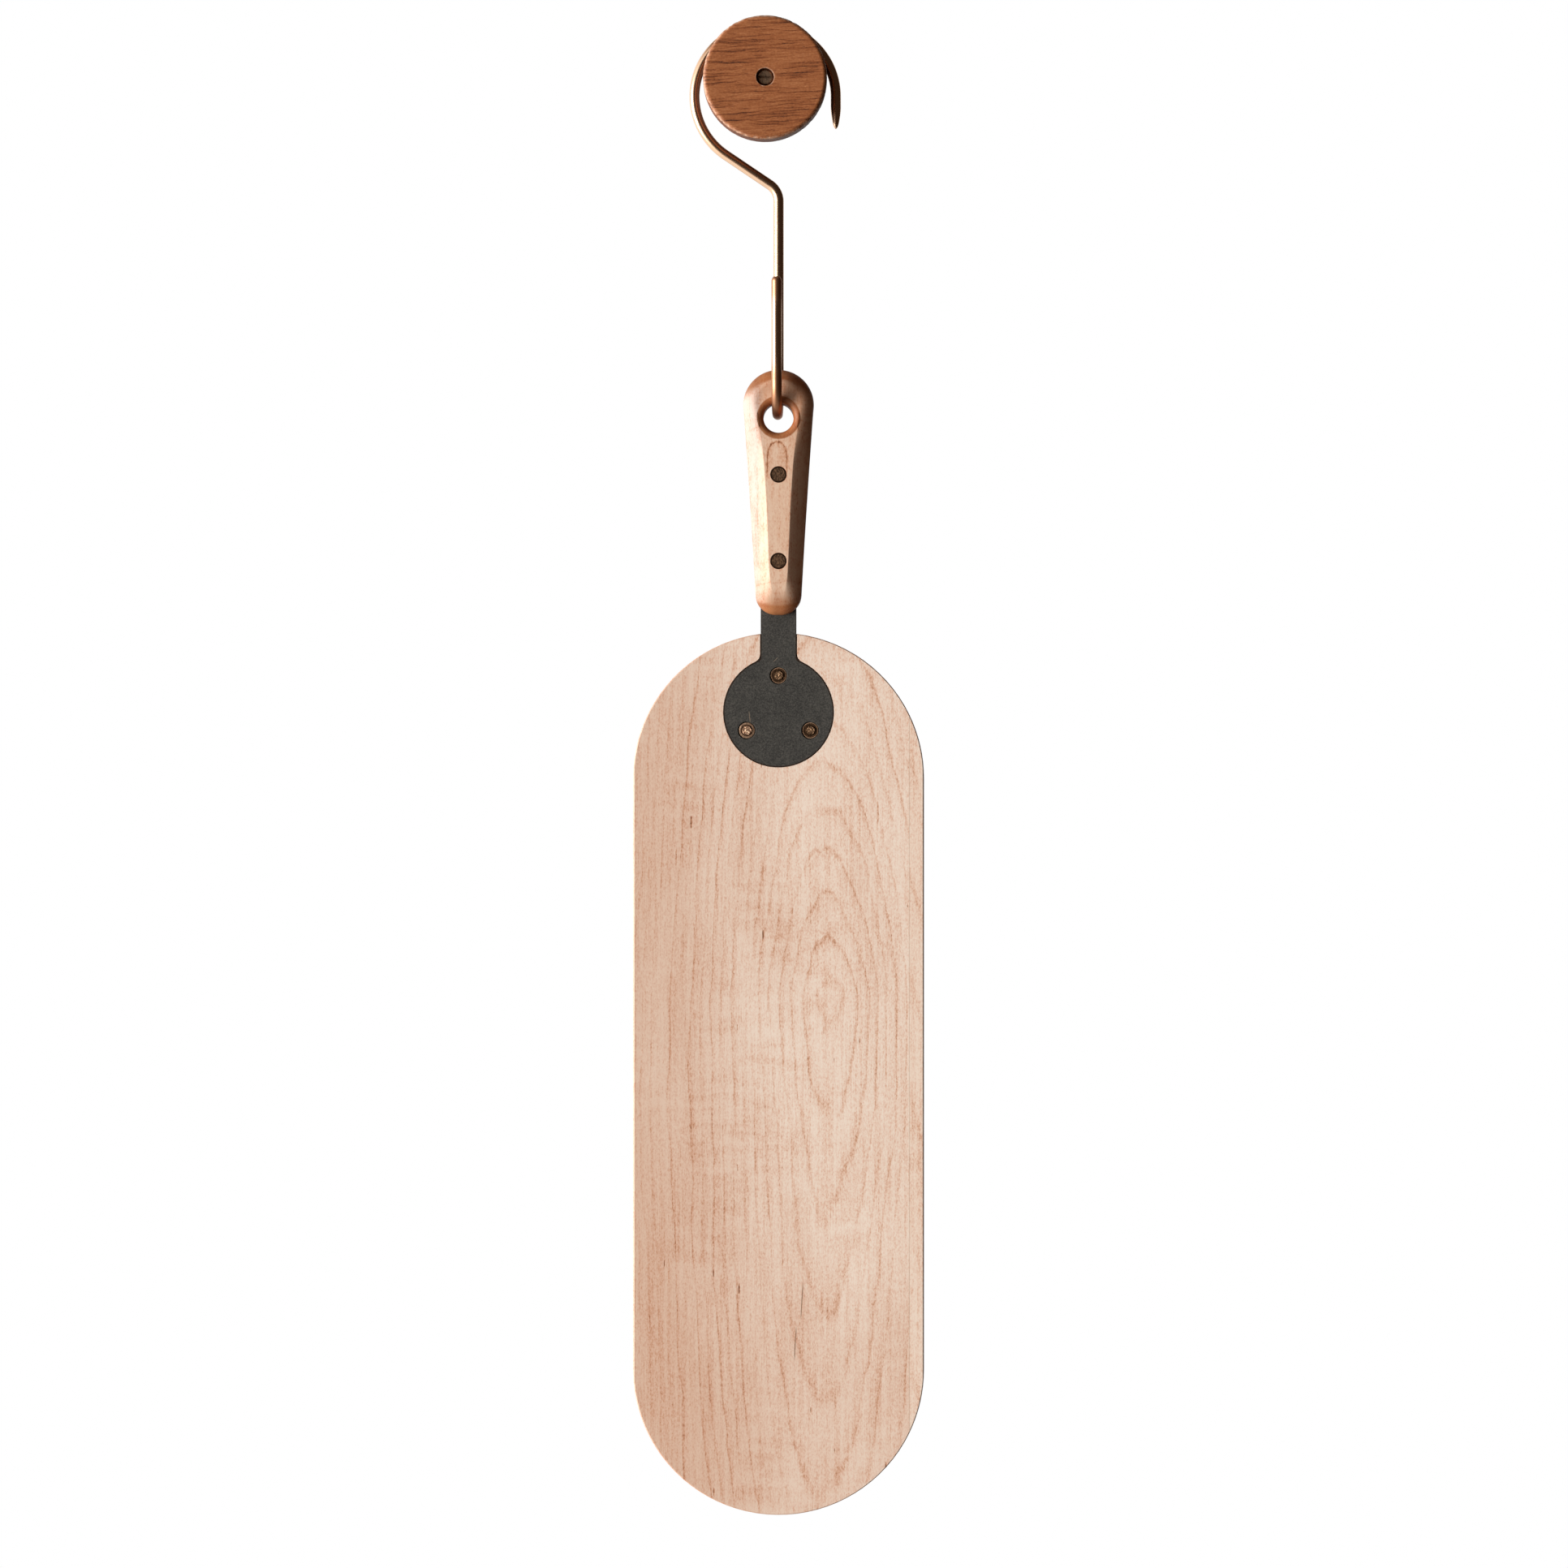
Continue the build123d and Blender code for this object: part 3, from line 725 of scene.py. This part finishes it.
def oak_grooves(x, z, count, seed):
    """How deep each place of the face lies in an open pore, from 0 to 1."""
    draw = random.Random(seed)
    deepest = np.zeros_like(x)
    for _ in range(count):
        middle = np.array((draw.uniform(-31, 31), draw.uniform(-32, 32)))
        length = draw.uniform(4, 10) if draw.random() < 0.55 else draw.uniform(12, 34)
        slope = draw.gauss(0.055, 0.035)
        bend = draw.gauss(0, 0.0025)
        width = draw.uniform(0.11, 0.20) + 0.005 * length
        depth = draw.uniform(0.25, 0.65) + 0.015 * length
        along = (x - middle[0]) / (length / 2)
        waver = 0.16 * np.sin((x + draw.uniform(0, 20)) / draw.uniform(1.4, 2.8))
        across = z - middle[1] - slope * (x - middle[0]) - bend * (x - middle[0]) ** 2 + waver
        narrowing = np.sqrt(np.clip(1 - along ** 2, 0, 1))
        mark = depth * narrowing * np.exp(-(across / (width * (0.25 + 0.75 * narrowing))) ** 2)
        deepest = np.maximum(deepest, np.clip(mark, 0, 1))
    return deepest


def build_knob_face():
    vertices, faces = lathe(knob_face_profile(), FACE_STEPS, (0, 0))
    places = np.array(vertices) / MM
    x, y, z = places.T
    radius = np.hypot(x, z)
    pore = oak_grooves(x, z, GROOVES, 17)
    front = np.clip((face_low.y / MM + 3 - y) / 3, 0, 1) * (radius > SEAT_R / MM + 0.1)
    side = np.clip((radius - FACE_R / MM + 1.2) / 1.0, 0, 1)
    rough = np.array([noise.noise(Vector(place) / 2.1) + 0.6 * noise.noise(Vector(place) / 0.8)
                      for place in places])
    rim = front * side
    chips = np.clip(rough * 1.5 - 0.1, 0, 1) * rim
    pore = pore * np.maximum(front, 0.6 * side)
    inward = 0.30 * pore * side + 0.38 * chips + 0.10 * side * np.clip(rough, 0, 1)
    y = y + front * (0.26 * pore + 0.03 * (1 + rough)) + 0.25 * chips
    shrink = (radius - inward) / radius
    places = np.stack((x * shrink, y, z * shrink), axis=1) * MM
    wear = np.clip(0.65 + 1.2 * rough, 0, 1) * rim * (1 - pore) * 0.95
    lip = np.clip(1 - np.abs(radius - SEAT_R / MM - 0.15) / 0.3, 0, 1)
    wear = np.maximum(wear, lip * np.clip(0.45 + 0.9 * rough, 0, 1) * 0.7)
    piece = make_piece("knob_disc", [tuple(place) for place in places], faces, knob_oak, "knob", crease=50)
    for name, values in (("pore", pore), ("wear", wear)):
        attribute = piece.data.attributes.new(name, "FLOAT", "POINT")
        attribute.data.foreach_set("value", values.astype(np.float32))
    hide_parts("knob_face")


build_knob_face()

# --- Rivets: hammered copper over washers ---
RIVET_R = 2.2 * MM
PEEN_R = 2.7 * MM
BURR_R = 4.2 * MM
HEAD_THICKNESS = 1.4 * MM
HEAD_ROUND = 0.2 * MM
BURR_ROUND = 0.1 * MM
PEEN_RINGS = 14
BURR_RINGS = 8
RIVET_STEPS = 64
BURR_STEPS = 48
RIVET_BITE = 0.26
BURR_BITE = 0.12


def hammered(vertices, front, bite, seed):
    """Push the places near the front inwards by uneven dents up to bite deep, in millimetres."""
    dented = []
    for x, y, z in vertices:
        spot = Vector((x, y, z)) / MM + Vector((0, 0, seed))
        dent = 0.5 + 0.6 * noise.noise(spot / 0.9) + 0.6 * noise.noise(spot / 0.42)
        near = max(0.0, 1 - (y - front) / (0.5 * MM))
        dented.append((x, y + near * bite * MM * min(max(dent, 0.0), 1.2), z))
    return dented


def rivet_profile(low, high, burr_front):
    """A rivet's section: its head in the board's back, its shank, and its end peened over the burr."""
    head_r = (high.x - low.x) / 2
    neck_y = high.y - HEAD_THICKNESS
    section = [(0, high.y), (head_r - HEAD_ROUND, high.y), (head_r, high.y - HEAD_ROUND), (head_r, neck_y),
               (RIVET_R, neck_y), (RIVET_R, burr_front)]
    proud = low.y - burr_front
    for angle in quarter(6)[:-1]:
        section.append((PEEN_R * (0.86 + 0.14 * math.cos(angle)),
                        burr_front + proud * (0.15 + 0.80 * math.sin(angle))))
    for i in range(PEEN_RINGS):
        left = 1 - i / PEEN_RINGS
        section.append((PEEN_R * 0.84 * left, low.y - proud * 0.05 * left))
    section.append((0, low.y))
    return section


def burr_profile(front, back):
    """A burr's section: a washer whose face is sunk between its rim and the rivet."""
    section = [(RIVET_R, back), (BURR_R - BURR_ROUND, back), (BURR_R, back - BURR_ROUND)]
    for i in range(BURR_RINGS + 1):
        share = i / BURR_RINGS
        sunk = 0.35 * (1 - share) ** 3 + 0.60 * share ** 2
        section.append((BURR_R + (RIVET_R - BURR_R) * share, front + (back - front) * sunk))
    return section


def build_rivet(spot, rivet_metal, burr_metal, seed):
    low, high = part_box(f"board_rivet_{spot}")
    burr_low, burr_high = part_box(f"rivet_burr_{spot}")
    centre = middle_of(f"board_rivet_{spot}")
    vertices, faces = lathe(rivet_profile(low, high, burr_low.y), RIVET_STEPS, centre)
    vertices = hammered(vertices, low.y, RIVET_BITE, seed)
    rivet = make_piece(f"copper_rivet_{spot}", vertices, faces, rivet_metal, "board")
    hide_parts(f"board_rivet_{spot}")
    vertices, faces = lathe(burr_profile(burr_low.y, burr_high.y), BURR_STEPS, centre)
    vertices = hammered(vertices, burr_low.y, BURR_BITE, seed + 5)
    burr = make_piece(f"copper_burr_{spot}", vertices, faces, burr_metal, "board")
    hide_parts(f"rivet_burr_{spot}")


build_rivet("top", rivet_dark, burr_dark, 3.0)
build_rivet("left", rivet_bright, burr_bright, 11.0)
build_rivet("right", rivet_dark, burr_dark, 19.0)


# --- Hook: one rod swept along its bends ---
ROD_R = 2.75 * MM
HOOK_ARC_R = hook_high.x - ROD_R
HOOK_ARC_Z = hook_high.z - ROD_R - HOOK_ARC_R
ROD_Y = hook_high.y - ROD_R
CRADLE_LEAN = math.radians(1.7)
CRADLE_R = (hook_high.y - hook_low.y - 2 * ROD_R) / (2 * math.cos(CRADLE_LEAN))
CRADLE_Z = hook_low.z + ROD_R + CRADLE_R
HOOK_TIP_Z = HOOK_ARC_Z - 17.55 * MM
HOOK_LEG_TOP_Z = CRADLE_Z + 54.95 * MM
HOOK_ARC_END = math.radians(236)
ELBOW_R = 10.8 * MM
ROD_STEP = 0.45 * MM
ROD_SIDES = 56
# How long and how deep the worn taper is at the rod's tip and at the end of its front leg.
TIP_TAPER = (11.5 * MM, 1.75 * MM)
LEG_TAPER = (2.4 * MM, 1.2 * MM)


def arc_points(centre, first, second, radius, start, end):
    """Points of an arc about a centre, from start to end, in the plane of two unit vectors."""
    count = max(2, math.ceil(abs(end - start) * radius / ROD_STEP))
    angles = [start + (end - start) * i / count for i in range(count + 1)]
    return [centre + radius * (math.cos(a) * first + math.sin(a) * second) for a in angles]


def line_points(start, end):
    count = max(2, math.ceil((end - start).length / ROD_STEP))
    return [start.lerp(end, i / count) for i in range(count + 1)]


def rod_route():
    """The hook's centreline, from its tip beside the knob to the end of its front leg."""
    right, up = Vector((1, 0, 0)), Vector((0, 0, 1))
    arc_centre = Vector((0, ROD_Y, HOOK_ARC_Z))
    over = arc_points(arc_centre, right, up, HOOK_ARC_R, 0, HOOK_ARC_END)
    heading = HOOK_ARC_END + math.pi / 2 - 2 * math.pi
    shank_top = over[-1].z + (BOARD_X - over[-1].x) * math.tan(heading)
    turn = math.pi / 2 + heading
    elbow_out = Vector((BOARD_X, ROD_Y, shank_top - ELBOW_R * math.tan(turn / 2)))
    elbow = arc_points(elbow_out - ELBOW_R * right, right, up, ELBOW_R, turn, 0)
    out = Vector((-math.sin(CRADLE_LEAN), -math.cos(CRADLE_LEAN), 0))
    cradle_start = Vector((BOARD_X, ROD_Y, CRADLE_Z))
    cradle = arc_points(cradle_start + CRADLE_R * out, -out, -up, CRADLE_R, 0, math.pi)
    leg_end = cradle[-1].copy()
    leg_end.z = HOOK_LEG_TOP_Z
    runs = [
        line_points(Vector((HOOK_ARC_R, ROD_Y, HOOK_TIP_Z)), over[0]),
        over,
        line_points(over[-1], elbow[0]),
        elbow,
        line_points(elbow[-1], cradle_start),
        cradle,
        line_points(cradle[-1], leg_end),
    ]
    route = [runs[0][0]]
    for run in runs:
        route.extend(run[1:])
    return route


def end_taper(distance, length, inset):
    """How far the rod's surface draws in near an end: a worn taper, round at its very tip."""
    if distance >= length:
        return 0.0
    share = 1 - distance / length
    return inset * share ** 1.6 + (ROD_R - inset) * share ** 14


def build_hook():
    route = rod_route()
    lengths = [0.0]
    for before, after in zip(route, route[1:]):
        lengths.append(lengths[-1] + (after - before).length)
    total = lengths[-1]
    vertices, faces = [], []
    side = Vector((0, -1, 0))
    for i, point in enumerate(route):
        ahead = (route[min(i + 1, len(route) - 1)] - route[max(i - 1, 0)]).normalized()
        side = (side - side.dot(ahead) * ahead).normalized()
        across = ahead.cross(side)
        inset = end_taper(lengths[i], *TIP_TAPER) + end_taper(total - lengths[i], *LEG_TAPER)
        for step in range(ROD_SIDES):
            angle = 2 * math.pi * step / ROD_SIDES
            out = math.cos(angle) * side + math.sin(angle) * across
            wear = 0.04 * (0.5 + 0.5 * noise.noise((point / MM + out * 4) / 11))
            vertices.append(point + out * max(ROD_R - wear * MM - inset, 0.02 * MM))
    last = len(vertices) - ROD_SIDES
    for ring in range(0, last, ROD_SIDES):
        for step in range(ROD_SIDES):
            after = (step + 1) % ROD_SIDES
            faces.append((ring + step, ring + after, ring + ROD_SIDES + after, ring + ROD_SIDES + step))
    faces.append(tuple(reversed(range(ROD_SIDES))))
    faces.append(tuple(range(last, last + ROD_SIDES)))
    piece = make_piece("hook_rod", vertices, faces, hook_brass, "hook", crease=60)
    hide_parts("s_hook")


build_hook()

# --- Handle: a waisted grip with a bevel, a round head and a slot for the strap ---
WAIST_HALF, WAIST_Z = 14.9 * MM, HEAD_Z - 56.3 * MM
FOOT_HALF, FOOT_Z = 12.4 * MM, HEAD_Z - 98.6 * MM
FOOT_CORNER_R = 11.0 * MM
HANG_HOLE_R = 8.0 * MM
HANG_HOLE_ROUND = 3.2 * MM
BEVEL_DEPTH = 7.0 * MM
PIN_HOLE_R = 4.35 * MM
PIN_HOLE_ROUND = 0.12 * MM
HANDLE_CREASE = 30
SLOT_GAP = 0.15 * MM
SLOT_HEIGHT = 30 * MM
# The head's arc starts this far below the level of its centre.
HEAD_START = math.radians(4.6)
# A narrow border of the flat, so that its shading stays clear of the bevel's and the holes' rims.
SUPPORT = 0.2 * MM
PROFILE_STEPS = 14


def side_half_width(z):
    """The handle's half width along its sides: a shallow curve through head, waist and foot."""
    heights = [HEAD_Z, WAIST_Z, FOOT_Z]
    widths = [HEAD_R, WAIST_HALF, FOOT_HALF]
    total = 0.0
    for i in range(3):
        share = widths[i]
        for j in range(3):
            if i != j:
                share *= (z - heights[j]) / (heights[i] - heights[j])
        total += share
    return total


def handle_outline():
    """Points (x from the centre line, z) round the handle, counter-clockwise from its foot's middle."""
    corner_z = handle_low.z + FOOT_CORNER_R
    corner_x = side_half_width(corner_z) - FOOT_CORNER_R
    half = [(corner_x * i / 4, handle_low.z) for i in range(4)]
    for angle in quarter(30)[:-1]:
        half.append((corner_x + FOOT_CORNER_R * math.sin(angle), corner_z - FOOT_CORNER_R * math.cos(angle)))
    head_start = HEAD_Z - HEAD_R * math.sin(HEAD_START)
    for i in range(60):
        z = corner_z + (head_start - corner_z) * i / 60
        half.append((side_half_width(z), z))
    for i in range(49):
        angle = -HEAD_START + (math.pi / 2 + HEAD_START) * i / 48
        half.append((HEAD_R * math.cos(angle), HEAD_Z + HEAD_R * math.sin(angle)))
    mirrored = [(-x, z) for x, z in reversed(half[1:-1])]
    return half + mirrored


def outline_inward(outline):
    """Unit vectors into the outline at each of its points."""
    inward = []
    for before, after in zip(outline[-1:] + outline[:-1], outline[1:] + outline[:1]):
        dx, dz = after[0] - before[0], after[1] - before[1]
        size = math.hypot(dx, dz)
        inward.append((-dz / size, dx / size))
    return inward


def ease(value, low, high):
    share = min(max((value - low) / (high - low), 0.0), 1.0)
    return share * share * (3 - 2 * share)


def bevel_at(z):
    """(width, roundness) of the handle's bevel: crisp along the grip, softer over the head and the foot."""
    head = ease(z, HEAD_Z - 34 * MM, HEAD_Z + 4 * MM)
    foot = 1 - ease(z, handle_low.z + 3 * MM, handle_low.z + 22 * MM)
    grip = ease(z, HEAD_Z - 90 * MM, HEAD_Z - 45 * MM)
    width = 8.1 * MM + grip * 0.7 * MM + head * -1.7 * MM + foot * 1.9 * MM
    roundness = 1.10 + head * 0.62 + foot * 0.95
    return width, roundness


def bevel_profile(width, roundness):
    """(inset, depth) steps from just within the flat, over its edge and down to the side wall."""
    steps = [(width + SUPPORT, 0.0)]
    for i in range(PROFILE_STEPS + 1):
        angle = math.pi / 2 * i / PROFILE_STEPS
        reach = math.sin(angle) ** (2 / roundness)
        left = math.cos(angle) ** (2 / roundness) if i < PROFILE_STEPS else 0.0
        steps.append((width * (1 - reach), BEVEL_DEPTH * (1 - left)))
    return steps


def add_loop(mesh, points, y):
    return [mesh.verts.new((x, y, z)) for x, z in points]


def bridge(mesh, first, second, flip):
    """Quads between two loops of the same length."""
    for i, _ in enumerate(first):
        j = (i + 1) % len(first)
        corners = [first[i], first[j], second[j], second[i]]
        mesh.faces.new(corners[::-1] if flip else corners)


def loop_edges(mesh, loop):
    return [mesh.edges.get((a, b)) or mesh.edges.new((a, b)) for a, b in zip(loop, loop[1:] + loop[:1])]


def circle(x, z, radius, steps):
    return [
        (x + radius * math.cos(2 * math.pi * i / steps), z + radius * math.sin(2 * math.pi * i / steps))
        for i in range(steps)
    ]


def handle_side(mesh, outline, inward, facing):
    """The front (facing = -1) or the back (1) of the handle: its bevel, its flat and the holes' rims.

    Returns the loops that it leaves open: the bevel's outer one and one for each hole.
    """
    half_depth = (handle_high.y - handle_low.y) / 2
    surface_y = HANDLE_Y + facing * half_depth
    flip = facing > 0
    profiles = [bevel_profile(*bevel_at(z)) for _, z in outline]
    loops = []
    for step in range(PROFILE_STEPS + 1, -1, -1):
        ring = []
        for (x, z), (nx, nz), profile in zip(outline, inward, profiles):
            inset, depth = profile[step]
            place = (HANDLE_X + x + nx * inset, surface_y - facing * depth, z + nz * inset)
            ring.append(mesh.verts.new(place))
        loops.append(ring)
    for first, second in zip(loops, loops[1:]):
        bridge(mesh, first, second, flip)
    boundary = [loops[-1]]
    rims = []
    for x, z, radius, round_r, steps in hole_list():
        rings = [add_loop(mesh, circle(x, z, radius + round_r + SUPPORT, steps), surface_y)]
        for angle in quarter(steps // 8):
            reach = radius + round_r * (1 - math.sin(angle))
            rings.append(add_loop(mesh, circle(x, z, reach, steps),
                                  surface_y - facing * round_r * (1 - math.cos(angle))))
        for first, second in zip(rings, rings[1:]):
            bridge(mesh, first, second, flip)
        boundary.append(rings[0])
        rims.append(rings[-1])
    edges = [edge for loop in boundary for edge in loop_edges(mesh, loop)]
    filled = bmesh.ops.triangle_fill(mesh, use_beauty=True, use_dissolve=False, edges=edges,
                                     normal=(0, facing, 0))
    for face in [f for f in filled["geom"] if isinstance(f, bmesh.types.BMFace)]:
        face.normal_update()
        if face.normal.y * facing < 0:
            face.normal_flip()
    return loops[0], rims


def hole_list():
    """(x, z, radius, rim rounding, steps) of the holes through the handle."""
    holes = [(HANDLE_X, HANG_HOLE_Z, HANG_HOLE_R, HANG_HOLE_ROUND, 96)]
    holes += [(x, z, PIN_HOLE_R, PIN_HOLE_ROUND, 48) for x, z in PINS]
    return holes


def cut_box(piece, low, high):
    """Cut a box out of a piece's mesh."""
    cutter_mesh = bmesh.new()
    bmesh.ops.create_cube(cutter_mesh, size=1)
    for vertex in cutter_mesh.verts:
        vertex.co = [(a + b) / 2 + (b - a) * c for a, b, c in zip(low, high, vertex.co)]
    mesh = bpy.data.meshes.new("cutter")
    cutter_mesh.to_mesh(mesh)
    cutter_mesh.free()
    cutter = add_object("cutter", mesh)
    modifier = piece.modifiers.new("cut", "BOOLEAN")
    modifier.operation = "DIFFERENCE"
    modifier.solver = "EXACT"
    modifier.object = cutter
    depsgraph = bpy.context.evaluated_depsgraph_get()
    result = bpy.data.meshes.new_from_object(piece.evaluated_get(depsgraph))
    piece.modifiers.clear()
    piece.data = result
    bpy.data.objects.remove(cutter)


def build_handle():
    outline = handle_outline()
    inward = outline_inward(outline)
    mesh = bmesh.new()
    front_wall, front_rims = handle_side(mesh, outline, inward, -1)
    back_wall, back_rims = handle_side(mesh, outline, inward, 1)
    bridge(mesh, front_wall, back_wall, True)
    for front, back in zip(front_rims, back_rims):
        bridge(mesh, front, back, False)
    bmesh.ops.recalc_face_normals(mesh, faces=mesh.faces)
    data = bpy.data.meshes.new("handle_body")
    mesh.to_mesh(data)
    mesh.free()
    piece = place_mesh("handle_body", data, handle_maple, "board", HANDLE_CREASE)
    half_slot = STRAP_WIDTH / 2 + SLOT_GAP
    cut_box(
        piece,
        (BOARD_X - half_slot, plate_low.y - SLOT_GAP, handle_low.z - 5 * MM),
        (BOARD_X + half_slot, plate_high.y + SLOT_GAP, handle_low.z + SLOT_HEIGHT),
    )
    piece.data.set_sharp_from_angle(angle=math.radians(HANDLE_CREASE))
    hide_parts("handle")


build_handle()

# --- Camera, light, room and floor ---
CAMERA_DISTANCE = 2.5
FRAME_HEIGHT = 0.8352
SENSOR = 36.0
AIM_X = BOARD_X + 2.9 * MM
AIM_Z = BOARD_BOTTOM + 389.4 * MM
FLOOR_R = 0.8
FLOOR_Z = BOARD_BOTTOM - 0.45


def build_camera():
    camera = bpy.data.cameras.new("camera")
    camera.sensor_width = SENSOR
    camera.lens = SENSOR * CAMERA_DISTANCE / FRAME_HEIGHT
    holder = add_object("camera", camera)
    holder.location = (AIM_X, BOARD_FRONT - CAMERA_DISTANCE, AIM_Z)
    holder.rotation_euler = (math.pi / 2, 0, 0)
    bpy.context.scene.camera = holder


def build_key_light():
    """A broad soft light from the left, level with the handle."""
    light = bpy.data.lights.new("key_light", "SUN")
    light.energy = 4.0
    light.angle = math.radians(32)
    light.color = (1.0, 0.985, 0.965)
    turn, rise = math.radians(65), math.radians(-3)
    towards = Vector((-math.sin(turn) * math.cos(rise), -math.cos(turn) * math.cos(rise), math.sin(rise)))
    holder = add_object("key_light", light)
    holder.location = towards * 2
    holder.rotation_euler = towards.to_track_quat("Z", "Y").to_euler()


def build_world():
    """White to the camera, and for all else a dark room with a bright left, a pale wall and ceiling."""
    world = bpy.data.worlds.new("studio")
    bpy.context.scene.world = world
    world.use_nodes = True
    graph = Graph(world.node_tree)
    x, y, z = graph.split(graph.node("TexCoord").outputs["Generated"])
    turn = graph.math("ARCTAN2", graph.times(x, -1.0), graph.times(y, -1.0))
    window = graph.times(
        graph.smooth(turn, math.radians(20), math.radians(38)),
        graph.smooth(z, 0.85, 0.50),
        graph.smooth(z, -0.98, -0.90),
        graph.smooth(turn, math.radians(165), math.radians(130)),
    )
    wall = graph.smooth(y, 0.60, 0.86)
    ceiling = graph.smooth(z, 0.90, 0.985)
    strength = graph.weighted(0.034, (window, 1.12), (wall, 0.75), (ceiling, 0.9))
    lit = graph.math("ADD", graph.add(window, wall), ceiling, clamp=True)
    tint = graph.mix(lit, (1.0, 0.60, 0.38), (1.0, 1.0, 1.0))
    room = graph.node("Background", {"Color": tint, "Strength": strength})
    backdrop = graph.node("Background", {"Color": (1.0, 1.0, 1.0, 1.0), "Strength": 1.0})
    graph.node("OutputWorld", {"Surface": graph.by_ray(room.outputs[0], backdrop.outputs[0])})


def build_floor():
    """A plain pale round floor under the hanging object, out of the main view, a little lifted to white."""
    material, graph = new_material("floor_pale")
    cloud = graph.noise(graph.millimetres(), (400, 400, 400), 2, 0.5, 60.0)
    colour = graph.ramp(graph.add(0.5, cloud), [(0.0, (0.84, 0.83, 0.82)), (1.0, (0.90, 0.895, 0.89))])
    matte = graph.node("BsdfDiffuse", {"Color": colour}).outputs[0]
    lift = graph.node("Emission", {"Color": colour, "Strength": 0.45}).outputs[0]
    lifted = graph.node("AddShader", {0: matte, 1: lift}).outputs[0]
    graph.node("OutputMaterial", {"Surface": graph.by_ray(matte, lifted)})
    rim = circle(BOARD_X, 0, FLOOR_R, 96)
    mesh = bpy.data.meshes.new("floor")
    mesh.from_pydata([(x, y, FLOOR_Z) for x, y in rim], [], [tuple(range(len(rim)))])
    mesh.materials.append(material)
    floor = add_object("floor", mesh)


build_camera()
build_world()
build_floor()
build_key_light()
bpy.context.scene.view_settings.view_transform = "Standard"
